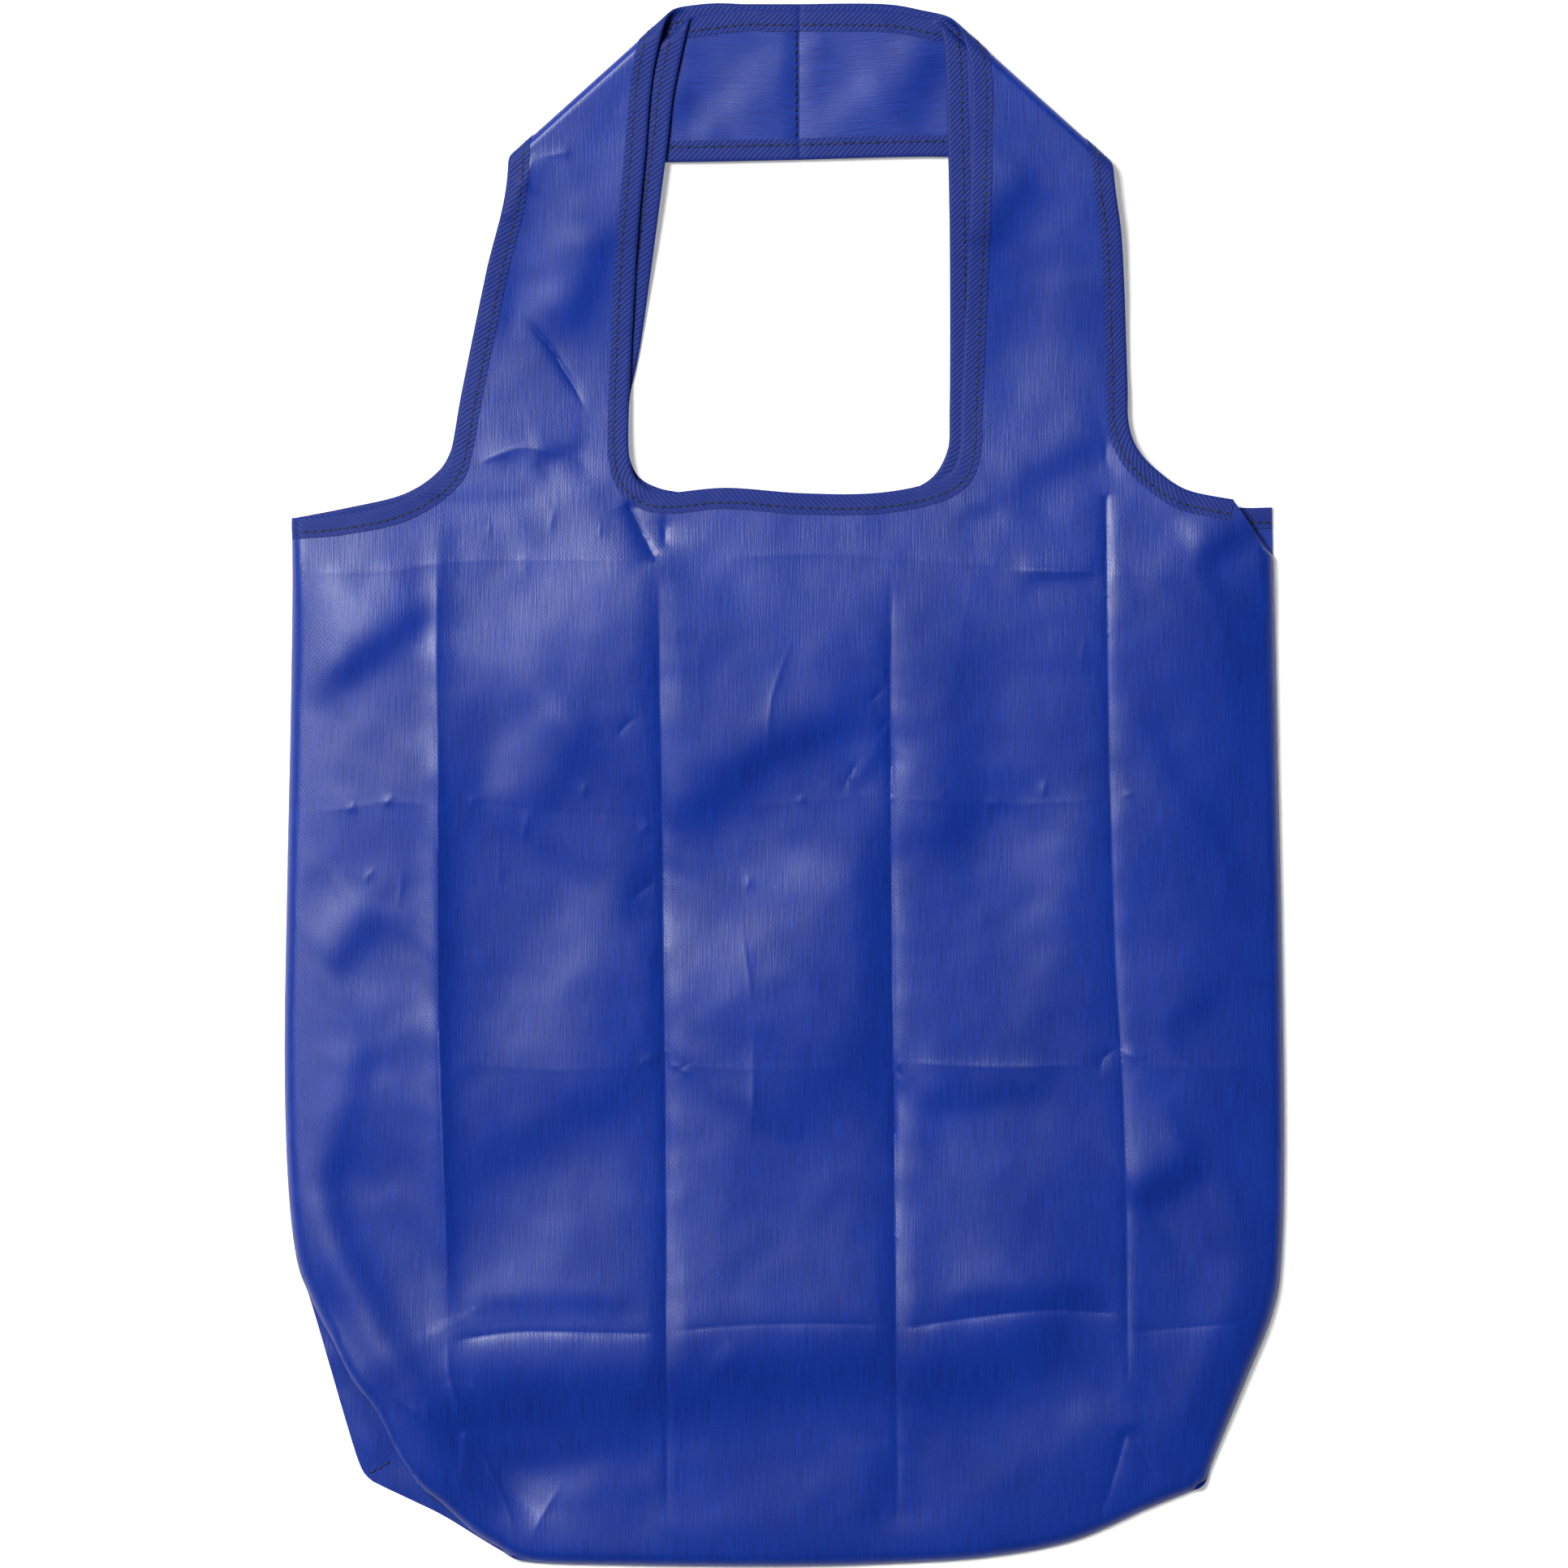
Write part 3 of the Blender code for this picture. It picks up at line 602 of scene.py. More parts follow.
class Panel:
    """One cut panel with its two straps: its edges on the flat cloth, its place in space."""

    def __init__(self, name, front, layers, left_shift, right_shift):
        self.name = name
        self.front = front
        low_z = HEM_Z + layers[0] * LAYER
        high_z = HEM_Z + layers[1] * LAYER
        self.left_fold = Fold(LEFT_FOLD_X + left_shift, -1, low_z, high_z)
        self.right_fold = Fold(RIGHT_FOLD_X + right_shift, 1, low_z, high_z)
        self.band_top = BAND_TOP_Y + (LOOP_STAGGER if front else -LOOP_STAGGER)
        self.side = spline(body_side(front), EDGE_STEP)
        self.rim = resample(self.side, RIM_STEP)
        self.right = spline(right_outer_hem(self), HEM_STEP)
        self.neck = spline(neck_hem(self), HEM_STEP)
        self.left = spline(left_outer_hem(self), HEM_STEP)

    def height(self, xy):
        y = xy[:, 1]
        floor = back_height(y)
        rim = nearest(xy, self.rim)[0]
        if not self.front:
            return floor + back_relief(xy, rim)
        long_rise = ease((y - LONG_RISE_START) / (HEM_RISE_END - LONG_RISE_START)) - hem_share(y)
        floor += (HEM_Z + LAYER - CLOTH_T / 2 - PANEL_GAP) * long_rise * ease(rim / RELIEF_MARGIN)
        gap = PANEL_GAP + (LAYER - PANEL_GAP) * hem_share(y)
        gap *= EDGE_GAP_SHARE + (1 - EDGE_GAP_SHARE) * ease(rim / EDGE_GAP_WIDTH)
        roll = np.sqrt(1 - (1 - np.minimum(1.0, rim / ROLL_WIDTH)) ** 2)
        rise = np.sin(math.pi / 2 * np.minimum(1.0, rim / RIM_WIDTH))
        mouth = 1 - ease((y - MOUTH_START_Y) / (MOUTH_END_Y - MOUTH_START_Y))
        uneven = ripple(xy, *FINE_WAVES) + ripple(xy, *BROAD_WAVES)
        past = np.maximum(self.left_fold.beyond(xy), self.right_fold.beyond(xy))
        marks = (relief(xy) + uneven) * ease(rim / RELIEF_MARGIN) * ease(-past / FOLD_MARGIN)
        marks = np.where(y > NECK_Y, np.maximum(marks, -SINK_MOST), marks)
        foot = FOOT_SHARE + (1 - FOOT_SHARE) * ease((y - FOOT_START_Y) / (FOOT_END_Y - FOOT_START_Y))
        above = (ROLL_RISE * roll + PUFF * rise) * mouth * foot + marks + marked(xy, RIM_MARKS)
        rest = (above + np.sqrt(above ** 2 + REST_SOFT ** 2)) / 2
        return floor + gap + above + (rest - above) * mouth

    def place(self, xy):
        """Places in space of points of the flat cloth."""
        xy = np.asarray(xy, float)
        result = np.column_stack((xy, self.height(xy)))
        for fold, half in ((self.left_fold, xy[:, 0] < 0), (self.right_fold, xy[:, 0] >= 0)):
            past = half & (fold.beyond(xy) > 0)
            result[past] = fold.turn(xy[past])
            if not self.front:
                result[past, 2] += marked(result[past, :2], BAND_MARKS)
        result[:, 1] -= MIDDLE_Y
        return result

    def normal(self, xy):
        """The cloth's upper side, over a small patch round each point."""
        along_x = self.place(xy + (PROBE, 0)) - self.place(xy - (PROBE, 0))
        along_y = self.place(xy + (0, PROBE)) - self.place(xy - (0, PROBE))
        up = np.cross(along_x, along_y)
        return up / np.linalg.norm(up, axis=1)[:, None]

    def lifted(self, xy, distance):
        return self.place(xy) + self.normal(xy) * np.reshape(distance, (-1, 1))

    def strap_end(self, fold):
        """Points across the end of a strap, from its lower edge up, between its hems."""
        heights = np.linspace(BAND_LOW_Y, self.band_top, SEAM_POINTS)[1:-1]
        return [fold.unfold(SEAM_X, y) for y in heights]

    def outline(self):
        side = self.side if self.front else self.side[:-1]
        return np.vstack((side, self.right, self.strap_end(self.right_fold), self.neck,
                          self.strap_end(self.left_fold)[::-1], self.left[:-1]))


def back_relief(xy, rim):
    """Slight unevenness of the back panel, which can only rise from the floor."""
    lift = np.maximum(0, ripple(xy, *BACK_WAVES)) * ease(rim / BACK_RELIEF_MARGIN)
    return lift * (1 - hem_share(xy[:, 1])) + marked(xy, BACK_MARKS)


def body_side(front):
    """Left side, bottom and right side of a panel, from shoulder to shoulder."""
    half = HALF_WIDTH
    # In from the left side, and up from the bottom edge
    left = [
        (0.0028, SHOULDER_Y), (0.003, 0.37), (0.0022, 0.318), (0.0009, 0.256), (0.0, 0.195),
        (0.0012, 0.148), (0.0045, 0.1175),
    ]
    front_corner = [
        (0.01, 0.102), (0.016, 0.089), (0.0255, 0.0712), (0.034, 0.0599),
        (0.0424, CORNER_Y + 0.0121), (0.051, CORNER_Y), (0.0588, 0.025), (0.0722, 0.0128),
        (0.0815, 0.0074),
    ]
    back_corner = [
        (0.0094, 0.102), (0.014, 0.0867), (0.023, 0.0558), (0.0283, CORNER_Y + 0.0075),
        (0.0318, CORNER_Y + 0.002), (0.0365, CORNER_Y - 0.0008), (0.049, 0.0248),
        (0.061, 0.0188), (0.0815, 0.0063),
    ]
    bottom = [(-half + 0.0922, 0.0019), (-0.06, 0.0004), (0.0, 0.0), (0.04, 0.001)]
    # In from the right side, and up from the bottom edge
    right = [
        (0.1131, 0.0035), (0.0807, 0.0096), (0.0528, 0.0216), (0.0368, CORNER_Y - 0.0034),
        (0.0302, CORNER_Y), (0.0268, CORNER_Y + 0.0095), (0.0144, 0.0712), (0.0043, 0.0965),
        (0.001, 0.118), (0.0, 0.164), (0.001, 0.24), (0.0022, 0.295), (0.0034, 0.355),
        (0.0042, SHOULDER_Y - 0.014),
    ]
    if not front:
        right.append((0.0045, SHOULDER_Y + 0.0042))
    left += front_corner if front else back_corner
    return ([(-half + inward, y) for inward, y in left] + bottom
            + [(half - inward, y) for inward, y in right])


def right_outer_hem(panel):
    """Right armhole and outer edge of the right strap, from the shoulder to the seam."""
    if panel.front:
        start = [(HALF_WIDTH - 0.0193, SHOULDER_Y + 0.007)]
        out = RIGHT_OUTER_X
    else:
        start = [
            (HALF_WIDTH - 0.0045, SHOULDER_Y + 0.0042),
            (HALF_WIDTH - 0.02, SHOULDER_Y + 0.0046),
        ]
        out = RIGHT_OUTER_X - 0.0008
    strap = [
        (out + 0.024, SHOULDER_Y + 0.0107), (out + 0.013, SHOULDER_Y + 0.0178),
        (out + 0.005, SHOULDER_Y + 0.0264), (out + 0.0014, SHOULDER_Y + 0.037),
        (out + 0.001, WAIST_Y + 0.01), (out - 0.001, WAIST_Y + 0.06),
        (out - 0.004, BAND_LOW_Y - 0.0085),
    ]
    turned = [
        (SEAM_X + 0.085, BAND_LOW_Y), (SEAM_X + 0.05, BAND_LOW_Y + 0.0012),
        (SEAM_X, BAND_LOW_Y),
    ]
    return start + strap + [panel.right_fold.unfold(x, y) for x, y in turned]


def left_outer_hem(panel):
    """Left armhole and outer edge of the left strap, from the seam back to the shoulder."""
    out = LEFT_OUTER_X
    dip = 0.0022 if panel.front else 0.0
    narrow = 0.0 if panel.front else 0.006
    turned = [
        (SEAM_X, BAND_LOW_Y), (SEAM_X - 0.04, BAND_LOW_Y - 0.0008),
        (SEAM_X - 0.076, BAND_LOW_Y - 0.0008),
    ]
    strap = [
        (out + 0.0215 + narrow, BAND_LOW_Y - 0.0085), (out + 0.0135 + narrow, WAIST_Y + 0.05),
        (out + 0.0045 + narrow / 2, WAIST_Y + 0.006), (out + 0.0004, SHOULDER_Y + 0.027),
        (out - 0.006 + dip, SHOULDER_Y + 0.017), (out - 0.019, SHOULDER_Y + 0.009 - dip),
        (out - 0.04, SHOULDER_Y + 0.004 - dip), (-HALF_WIDTH + 0.0028, SHOULDER_Y),
    ]
    return [panel.left_fold.unfold(x, y) for x, y in turned] + strap


def neck_hem(panel):
    """Inner edges of both straps and the neckline, from the seam on the right to the left."""
    top = panel.band_top
    left = LEFT_INNER_X
    if panel.front:
        right = RIGHT_INNER_X
        turned_right = [(SEAM_X, top), (SEAM_X + 0.032, top), (SEAM_X + 0.05, top - 0.003)]
        right_strap = [
            (right + 0.003, BAND_TOP_Y - 0.021), (right + 0.0036, BAND_LOW_Y + 0.0045),
            (right + 0.0026, WAIST_Y + 0.06), (right, WAIST_Y),
            (right - 0.0004, NECK_Y + 0.019), (right - 0.004, NECK_Y + 0.0085),
        ]
        neckline = [
            (right - 0.016, NECK_Y + 0.003), (SEAM_X + 0.026, NECK_Y),
            (SEAM_X, NECK_Y + 0.0002), (SEAM_X - 0.0277, NECK_Y + 0.0022),
            (left + 0.015, NECK_Y + 0.0004), (left + 0.0055, NECK_Y + 0.003),
        ]
        left_strap = [
            (left + 0.0005, NECK_Y + 0.012), (left, WAIST_Y), (left + 0.003, WAIST_Y + 0.059),
            (left + 0.0062, BAND_LOW_Y + 0.0005), (left + 0.0095, BAND_TOP_Y - 0.023),
        ]
        turned_left = [(SEAM_X - 0.037, top), (SEAM_X - 0.02, top), (SEAM_X, top)]
    else:
        right = RIGHT_INNER_X - 0.0044
        turned_right = [(SEAM_X, top), (SEAM_X + 0.023, top), (SEAM_X + 0.038, top - 0.0008)]
        right_strap = [
            (right - 0.0025, BAND_TOP_Y - 0.012), (right - 0.001, BAND_LOW_Y + 0.0145),
            (right, WAIST_Y + 0.06), (right, WAIST_Y), (right - 0.0015, NECK_Y + 0.015),
        ]
        neckline = [
            (right - 0.012, NECK_Y + 0.003), (SEAM_X + 0.022, NECK_Y - 0.0005),
            (SEAM_X, NECK_Y - 0.001), (SEAM_X - 0.0307, NECK_Y - 0.0003),
            (left + 0.011, NECK_Y + 0.0025),
        ]
        left_strap = [
            (left + 0.0008, NECK_Y + 0.012), (left, WAIST_Y), (left + 0.005, WAIST_Y + 0.027),
            (left + 0.014, BAND_LOW_Y), (left + 0.0176, BAND_LOW_Y + 0.0285),
        ]
        turned_left = [(SEAM_X - 0.022, top), (SEAM_X - 0.012, top), (SEAM_X, top)]
    return ([panel.right_fold.unfold(x, y) for x, y in turned_right]
            + right_strap + neckline + left_strap
            + [panel.left_fold.unfold(x, y) for x, y in turned_left])


class Scatter:
    """Points kept at least a given distance from those already there."""

    def __init__(self, cell):
        self.cell = cell
        self.cells = {}
        self.points = []

    def add(self, xy, apart):
        reach = math.ceil(apart / self.cell)
        for x, y in xy:
            i = int(x // self.cell)
            j = int(y // self.cell)
            if apart > 0 and self.crowded(x, y, i, j, reach, apart):
                continue
            self.cells.setdefault((i, j), []).append((x, y))
            self.points.append((x, y))

    def crowded(self, x, y, i, j, reach, apart):
        for a in range(i - reach, i + reach + 1):
            for b in range(j - reach, j + reach + 1):
                for px, py in self.cells.get((a, b), ()):
                    if (px - x) ** 2 + (py - y) ** 2 < apart * apart:
                        return True
        return False


def crease_rows(points, left, right):
    """Rows of points along a crease and beside it, for a mesh that follows it closely."""
    line = spline([at(*p) for p in points], NEAR_STEP)
    yield line
    for side in (1, -1):
        yield offset(line, side * LINE_WIDTH * LINE_ROW)
    for share in ROW_SHARES:
        for width, side in ((left, 1), (right, -1)):
            reach = share * max(ROW_LEAST, width * PHOTO_PX)
            if reach < ROW_MOST:
                yield offset(line, side * reach)


def flat_points(panel, outline, lines):
    """Points of the flat cloth: dense at its edges and creases, wider apart elsewhere."""
    scatter = Scatter(SCATTER_CELL)
    scatter.add(outline, 0)
    for line in lines:
        scatter.add(line, 0)
    fixed = len(scatter.points)
    if panel.front:
        marks = [crease[:3] for crease in CREASES]
        marks += [(p, width, width) for p, width, _ in PINCHES]
        for row in (row for mark in marks for row in crease_rows(*mark)):
            scatter.add(row, ROW_APART)
        for reach in RIM_ROWS:
            scatter.add(offset(panel.side, reach), RIM_APART)
    low = outline.min(0)
    high = outline.max(0)
    step = OPEN_STEP if panel.front else OPEN_STEP * BACK_COARSER
    grid = []
    for j, y in enumerate(np.arange(low[1], high[1], step * TRIANGLE_RISE)):
        x = np.arange(low[0] + (j % 2) * step / 2, high[0], step)
        grid.append(np.column_stack((x, np.full(len(x), y))))
    scatter.add(np.vstack(grid), step * OPEN_APART)
    loose = np.array(scatter.points[fixed:])
    return loose[inside(loose, outline)]


def triangulate(outline, lines, fill):
    """Points and triangles of the flat region inside an outline, with lines as edges."""
    points = [Vector(p) for p in outline]
    count = len(points)
    edges = [(k, (k + 1) % count) for k in range(count)]
    for line in lines:
        start = len(points)
        points.extend(Vector(p) for p in line)
        edges.extend((start + k, start + k + 1) for k in range(len(line) - 1))
    points.extend(Vector(p) for p in fill)
    places, _, faces, *_ = delaunay_2d_cdt(points, edges, [list(range(count))], 1, 1e-6)
    used = sorted({i for face in faces for i in face})
    number = {i: k for k, i in enumerate(used)}
    xy = np.array([tuple(places[i]) for i in used])
    return xy, [[number[i] for i in face] for face in faces]


def add_object(name, data):
    item = bpy.data.objects.new(name, data)
    bpy.context.scene.collection.objects.link(item)
    return item


def make_mesh(name, places, faces, flat, look, thickness=0.0):
    """A smooth mesh piece that keeps where each point lies on the flat cloth."""
    mesh = bpy.data.meshes.new(name)
    mesh.from_pydata([tuple(map(float, p)) for p in places], [], faces)
    mesh.validate()
    keep = mesh.attributes.new("flat", "FLOAT_VECTOR", "POINT")
    flat3 = np.column_stack((flat, np.zeros(len(flat)))) if flat.shape[1] == 2 else flat
    keep.data.foreach_set("vector", flat3.astype(np.float32).ravel())
    mesh.polygons.foreach_set("use_smooth", [True] * len(mesh.polygons))
    mesh.materials.append(look)
    piece = add_object(name, mesh)
    if thickness:
        solid = piece.modifiers.new("thickness", "SOLIDIFY")
        solid.thickness = thickness
        solid.offset = 0
        graph = bpy.context.evaluated_depsgraph_get()
        piece.data = bpy.data.meshes.new_from_object(piece.evaluated_get(graph))
        piece.modifiers.clear()
        piece.data.set_sharp_from_angle(angle=RIM_ANGLE)
    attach(piece, "root")
    return piece


def make_cloth(panel, look):
    """The cloth of one panel, with its straps turned and sewn end to end."""
    outline = panel.outline()
    lines = panel.left_fold.lines() + panel.right_fold.lines()
    xy, faces = triangulate(outline, lines, flat_points(panel, outline, lines))
    return make_mesh(panel.name + "_cloth", panel.place(xy), faces, xy, look, CLOTH_T)


def tape_section():
    """Across a folded tape: distance in from the cloth's edge, height from its middle."""
    upper = [(inward, TAPE_LIFT) for inward in (TAPE_W, 0.0066, 0.0052, 0.0038, 0.0022, 0.0008)]
    turn = [(-TAPE_REACH * math.cos(a), TAPE_LIFT * math.sin(a))
            for a in np.radians((60, 25, -25, -60))]
    return upper + turn + [(inward, -height) for inward, height in upper[::-1]]


def make_tape(name, panel, hems, look):
    """Tape folded over some of a panel's edges."""
    places, faces, flat = [], [], []
    for hem in hems:
        section = tape_section()
        start = sum(len(p) for p in places)
        along = np.arange(len(hem)) * HEM_STEP
        seed = 11.0 + len(places)
        wave = np.array([noise.noise((s / RUFFLE_LONG, seed, 0.5)) for s in along])
        for inward, height in section:
            row = offset(hem, inward)
            ruffle = RUFFLE_HIGH * wave * math.copysign(1, height)
            places.append(panel.lifted(row, height + ruffle))
            flat.append(np.column_stack((along, np.full(len(hem), inward), np.full(len(hem), 0))))
        count = len(hem)
        for j in range(len(section) - 1):
            for i in range(count - 1):
                a = start + j * count + i
                faces.append((a, a + 1, a + count + 1, a + count))
    return make_mesh(name, np.vstack(places), faces, np.vstack(flat), look, TAPE_T)


def capsule(start, end, up, radius):
    """Points and faces of one short thread that lies between two points.

    Its rings give the share of its length, the swell of its radius and how far it sinks.
    """
    along = end - start
    length = np.linalg.norm(along)
    along = along / length
    across = np.cross(up, along)
    across /= np.linalg.norm(across)
    rings = ((-0.02, 0.3, 0.35), (0.1, 0.85, 0.1), (0.3, 1.0, 0.0), (0.7, 1.0, 0.0),
             (0.9, 0.85, 0.1), (1.02, 0.3, 0.35))
    points = []
    for share, swell, sink in rings:
        middle = start + along * length * share - up * radius * sink
        for k in range(6):
            angle = math.pi * k / 3
            points.append(middle + radius * swell * (
                across * math.cos(angle) * 1.15 + up * math.sin(angle) * 0.75))
    faces = [tuple(range(5, -1, -1)), tuple(range(30, 36))]
    for ring in range(5):
        for k in range(6):
            a = ring * 6 + k
            b = ring * 6 + (k + 1) % 6
            faces.append((a, b, b + 6, a + 6))
    return points, faces


def stitch_run(panel, line, lift):
    """Stitches along a line on the flat cloth, on its upper or its lower side."""
    starts = np.arange(STITCH_START, path_reach(line)[-1] - STITCH_LONG, STITCH_PITCH)
    first = on_path(line, starts)
    last = on_path(line, starts + STITCH_LONG)
    up = panel.normal(first) * math.copysign(1, lift)
    return zip(panel.lifted(first, lift), panel.lifted(last, lift), up)


def make_stitches(name, runs, look):
    points, faces = [], []
    for run in runs:
        for start, end, up in run:
            made, sides = capsule(start, end, up, THREAD_R)
            faces.extend(tuple(len(points) + i for i in side) for side in sides)
            points.extend(made)
    points = np.array(points)
    return make_mesh(name, points, faces, points, look)


def fill(node, **values):
    """Sets inputs of a node. In their names a low line stands for a space."""
    for name, value in values.items():
        node.inputs[name.replace("_", " ")].default_value = value


class Nodes:
    """A short way to write a material's node tree."""

    def __init__(self, name):
        self.look = bpy.data.materials.new(name)
        self.look.use_nodes = True
        self.tree = self.look.node_tree
        self.shader = self.tree.nodes["Principled BSDF"]

    def add(self, kind, **settings):
        node = self.tree.nodes.new("ShaderNode" + kind)
        for key, value in settings.items():
            setattr(node, key, value)
        return node

    def join(self, source, target):
        self.tree.links.new(source, target)

    def math(self, operation, *values):
        node = self.add("Math", operation=operation)
        for socket, value in zip(node.inputs, values):
            if isinstance(value, (int, float)):
                socket.default_value = value
            else:
                self.join(value, socket)
        return node.outputs[0]

    def total(self, *parts):
        """Sum of some values, each with its weight."""
        result = 0.0
        for value, weight in parts:
            result = self.math("MULTIPLY_ADD", value, weight, result)
        return result

    def flat(self, scale):
        """The flat place of each point, stretched by a scale for each axis."""
        place = self.add("Attribute", attribute_name="flat")
        move = self.add("Mapping")
        fill(move, Scale=scale)
        self.join(place.outputs["Vector"], move.inputs["Vector"])
        return move.outputs[0]

    def noise(self, scale, detail=2.0):
        node = self.add("TexNoise")
        fill(node, Scale=1, Detail=detail)
        self.join(self.flat(scale), node.inputs["Vector"])
        return node.outputs["Fac"]

    def spread(self, value, low, high):
        """The same value with low taken to 0 and high to 1."""
        node = self.add("MapRange")
        fill(node, From_Min=low, From_Max=high)
        self.join(value, node.inputs["Value"])
        return node.outputs["Result"]

    def threads(self, scale, direction):
        node = self.add("TexWave", wave_type="BANDS", bands_direction=direction)
        fill(node, Scale=1, Distortion=0.6, Detail_Scale=0.4)
        self.join(self.flat(scale), node.inputs["Vector"])
        return node.outputs["Fac"]

    def colour(self, value, dark, light):
        """A base colour that runs from a dark to a light one with a value."""
        node = self.add("Mix", data_type="RGBA")
        fill(node, A=(*dark, 1), B=(*light, 1))
        self.join(value, node.inputs["Factor"])
        self.join(node.outputs["Result"], self.shader.inputs["Base Color"])

    def bump(self, height, distance, strength):
        node = self.add("Bump")
        fill(node, Strength=strength, Distance=distance)
        self.join(height, node.inputs["Height"])
        self.join(node.outputs["Normal"], self.shader.inputs["Normal"])

    def gloss(self, roughness, level, **others):
        fill(self.shader, Roughness=roughness, Specular_IOR_Level=level, **others)


def cloth_look():
    """Thin satin twill: a fine grain, with streaks along the warp."""
    nodes = Nodes("satin_twill")
    streaks = nodes.noise((1700, 75, 1), 3.0)
    slubs = nodes.noise((500, 2300, 1), 2.0)
    broad = nodes.noise((26, 18, 1), 3.0)
    tone = nodes.total((streaks, 0.5), (slubs, 0.25), (broad, 0.25))
    nodes.colour(nodes.spread(tone, 0.36, 0.64), CLOTH_DARK, CLOTH_LIGHT)
    twill = nodes.threads((420, 300, 1), "DIAGONAL")
    nodes.bump(nodes.total((twill, 0.2), (slubs, 0.4), (streaks, 1.3)), 0.00009, 0.6)
    nodes.gloss(0.37, 0.345, IOR=1.6)
    return nodes.look


def tape_look():
    """Coarser diagonal twill of the edge tape."""
    nodes = Nodes("twill_tape")
    twill = nodes.threads((300, 300, 1), "DIAGONAL")
    patch = nodes.noise((150, 400, 1), 2.0)
    nodes.colour(nodes.total((twill, 0.5), (patch, 0.5)), TAPE_DARK, TAPE_LIGHT)
    nodes.bump(twill, 0.0001, 0.8)
    nodes.gloss(0.55, 0.2)
    return nodes.look


def thread_look():
    """Dark sewing thread with a twist along it."""
    nodes = Nodes("sewing_thread")
    strands = nodes.noise((2500, 2500, 2500), 1.0)
    nodes.colour(strands, THREAD_DARK, THREAD_LIGHT)
    nodes.bump(strands, 0.00008, 0.6)
    nodes.gloss(0.5, 0.5, Sheen_Weight=0.05, Sheen_Tint=(0.72, 0.74, 1, 1))
    return nodes.look


def make_bag():
    cloth, tape, thread = cloth_look(), tape_look(), thread_look()
    front = Panel("front", True, (0, 3), 0, 0)
    back = Panel("back", False, (1, 2), 0.007, -0.003)
    for panel in (front, back):
        piece = make_cloth(panel, cloth)
        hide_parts(panel.name + "_panel")
        neck = make_tape(panel.name + "_neck_tape", panel, [panel.neck], tape)
        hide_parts(panel.name + "_neck_binding")
        sides = make_tape(panel.name + "_side_tape", panel, [panel.right, panel.left], tape)
        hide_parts(panel.name + "_side_binding")
        runs = [stitch_run(panel, offset(hem, STITCH_IN), lift)
                for hem in (panel.right, panel.neck, panel.left)
                for lift in (TAPE_LIFT + TAPE_T / 2, -TAPE_LIFT - TAPE_T / 2)]
        if panel is back:
            heights = np.linspace(BAND_LOW_Y + TAPE_W, panel.band_top - TAPE_W, SEAM_POINTS)
            seam = [panel.left_fold.unfold(SEAM_X - SEAM_THREAD_IN, y) for y in heights]
            runs.append(stitch_run(panel, np.array(seam), -SEAM_THREAD_LIFT))
            corner = np.array([at(*p) for p in CORNER_SEAM])
            runs.append(stitch_run(panel, corner, SEAM_THREAD_LIFT))
        stitches = make_stitches(panel.name + "_stitches", runs, thread)


def white_to_camera(name, strength):
    """Pale matt material that the camera and reflections see as white."""
    nodes = Nodes(name)
    fill(nodes.shader, Base_Color=(0.86, 0.86, 0.86, 1), Roughness=0.9,
         Emission_Color=(1, 1, 1, 1))
    rays = nodes.add("LightPath")
    seen = 0.0
    for ray in ("Is Camera Ray", "Is Glossy Ray", "Is Transmission Ray"):
        seen = nodes.math("MAXIMUM", rays.outputs[ray], seen)
    nodes.join(nodes.math("MULTIPLY", seen, strength), nodes.shader.inputs["Emission Strength"])
    return nodes.look


def make_floor():
    """A plain pale floor that shows white to the camera and keeps the bag's shadow."""
    mesh = bpy.data.meshes.new("floor")
    reach = FLOOR_REACH
    corners = [(-reach, -reach, 0), (reach, -reach, 0), (reach, reach, 0), (-reach, reach, 0)]
    mesh.from_pydata(corners, [], [(0, 1, 2, 3)])
    mesh.materials.append(white_to_camera("pale_floor", FLOOR_GLOW))
    add_object("floor", mesh)


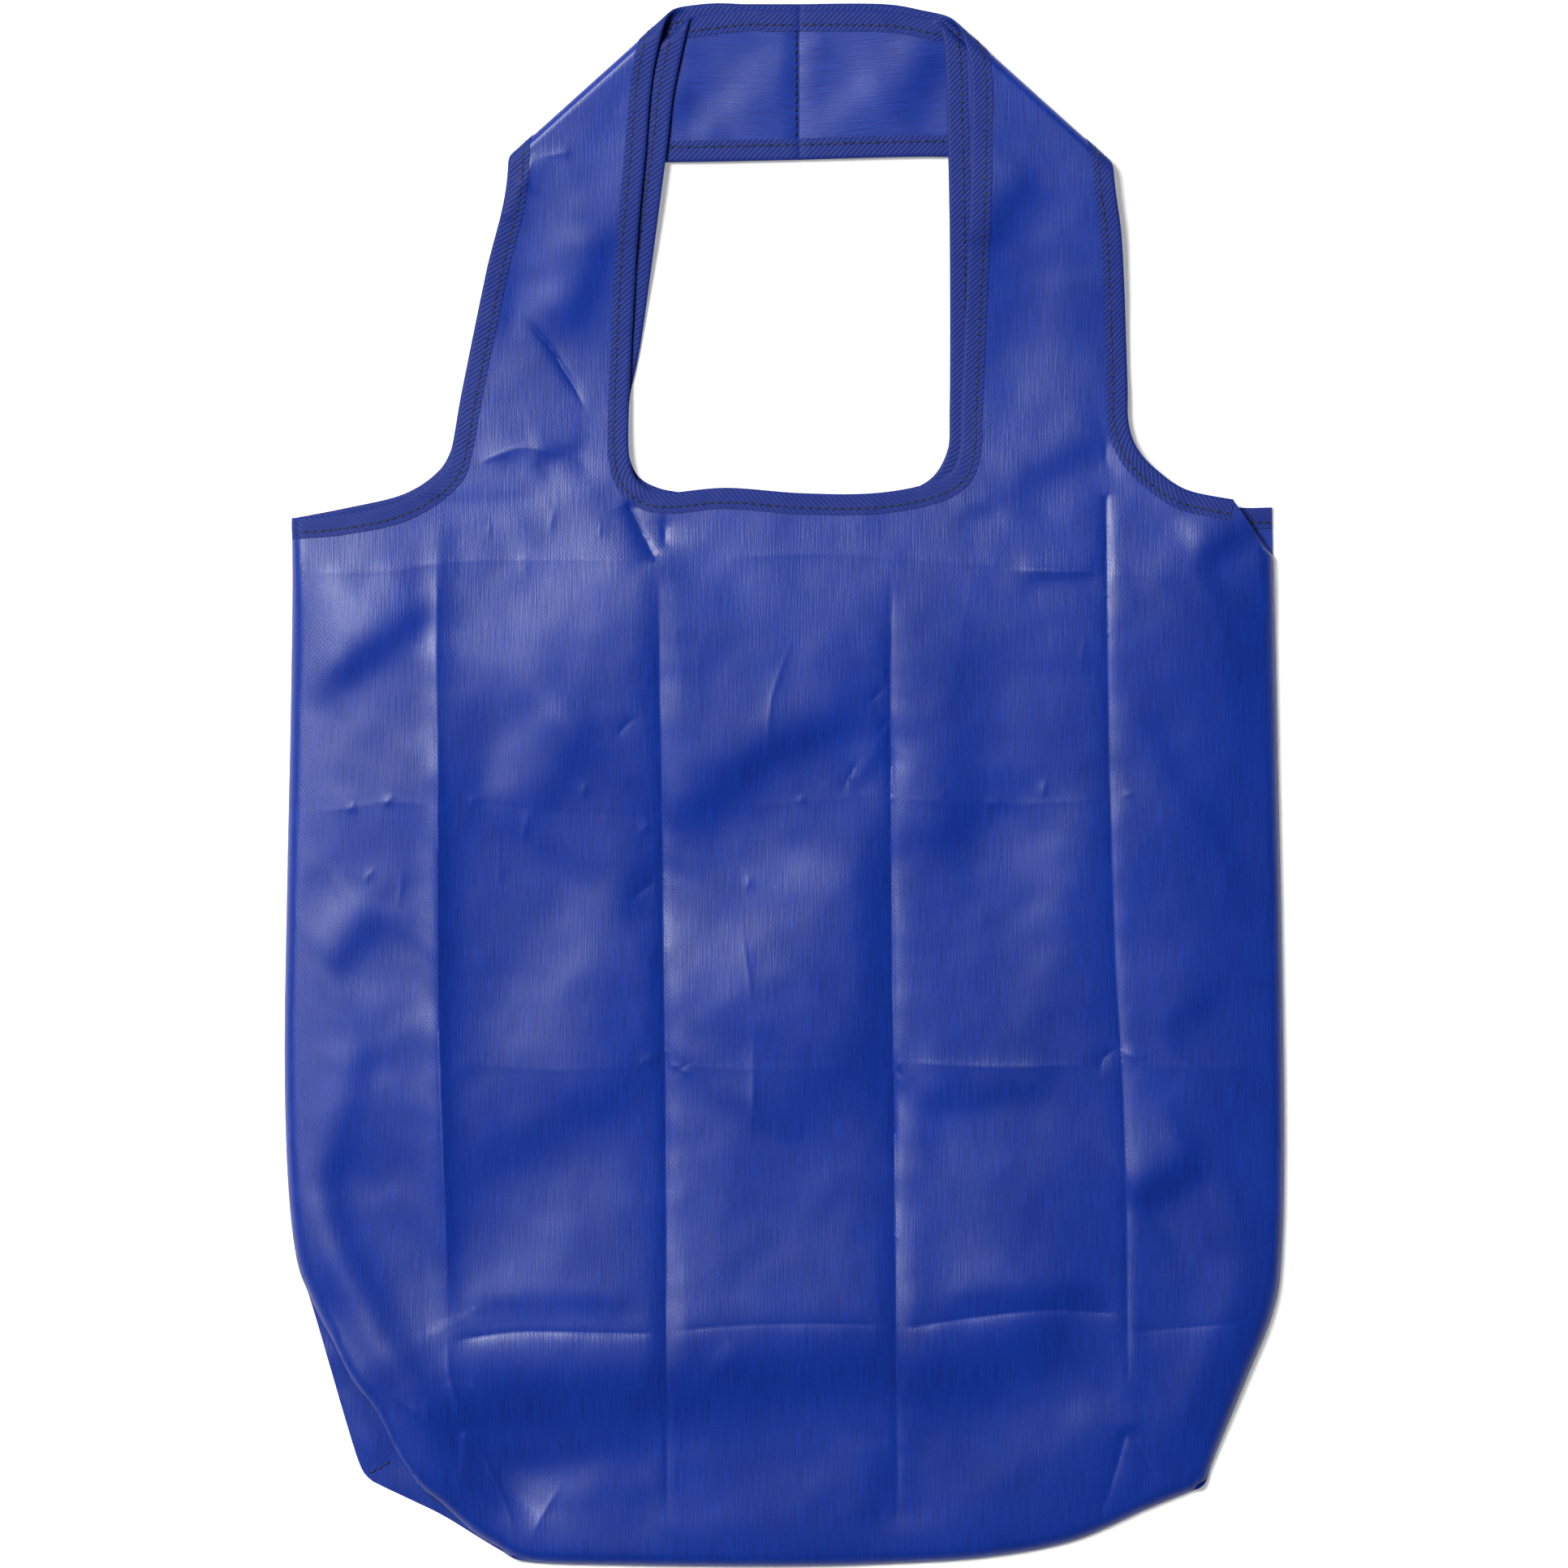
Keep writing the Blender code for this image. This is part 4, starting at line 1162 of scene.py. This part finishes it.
def make_window():
    """The soft window light, turned towards the bag."""
    lamp = bpy.data.lights.new("window", "AREA")
    lamp.shape = "DISK"
    lamp.size = WINDOW_SIZE
    lamp.energy = WINDOW_POWER
    item = add_object("window", lamp)
    item.location = WINDOW_PLACE
    item.rotation_mode = "QUATERNION"
    item.rotation_quaternion = Vector(WINDOW_PLACE).to_track_quat("Z", "Y")


def make_backdrop():
    """A round white wall, far off, that closes the view above the floor."""
    bpy.ops.mesh.primitive_cylinder_add(
        vertices=96, radius=WALL_REACH, depth=WALL_HEIGHT, end_fill_type="NOTHING",
        location=(0, 0, WALL_HEIGHT / 2))
    wall = bpy.context.object
    wall.name = "backdrop"
    wall.data.materials.append(white_to_camera("pale_wall", WALL_GLOW))


def make_world():
    """Soft light from all round, weaker from straight above."""
    world = bpy.data.worlds.new("studio")
    world.use_nodes = True
    bpy.context.scene.world = world
    tree = world.node_tree
    place = tree.nodes.new("ShaderNodeTexCoord")
    axes = tree.nodes.new("ShaderNodeSeparateXYZ")
    fade = tree.nodes.new("ShaderNodeMapRange")
    fade.interpolation_type = "SMOOTHSTEP"
    fill(fade, From_Min=WORLD_FADE[0], From_Max=WORLD_FADE[1], To_Min=WORLD_SIDE, To_Max=WORLD_TOP)
    tree.links.new(place.outputs["Generated"], axes.inputs[0])
    tree.links.new(axes.outputs["Z"], fade.inputs["Value"])
    tree.links.new(fade.outputs["Result"], tree.nodes["Background"].inputs["Strength"])
    fill(tree.nodes["Background"], Color=(1, 1, 1, 1))


def make_studio():
    make_floor()
    make_backdrop()
    make_world()
    make_window()
    bpy.context.scene.view_settings.view_transform = "Standard"


def make_camera():
    """Straight above the bag, framed as in the photograph."""
    lens = bpy.data.cameras.new("camera")
    lens.sensor_width = SENSOR_MM
    lens.lens = SENSOR_MM * (CAMERA_Z - TRUE_SCALE_Z) / (PHOTO_SIDE * PHOTO_PX)
    camera = add_object("camera", lens)
    mid_x, mid_y = at(PHOTO_SIDE / 2, PHOTO_SIDE / 2)
    camera.location = (mid_x, mid_y - MIDDLE_Y, CAMERA_Z)
    bpy.context.scene.camera = camera


make_bag()
make_studio()
make_camera()
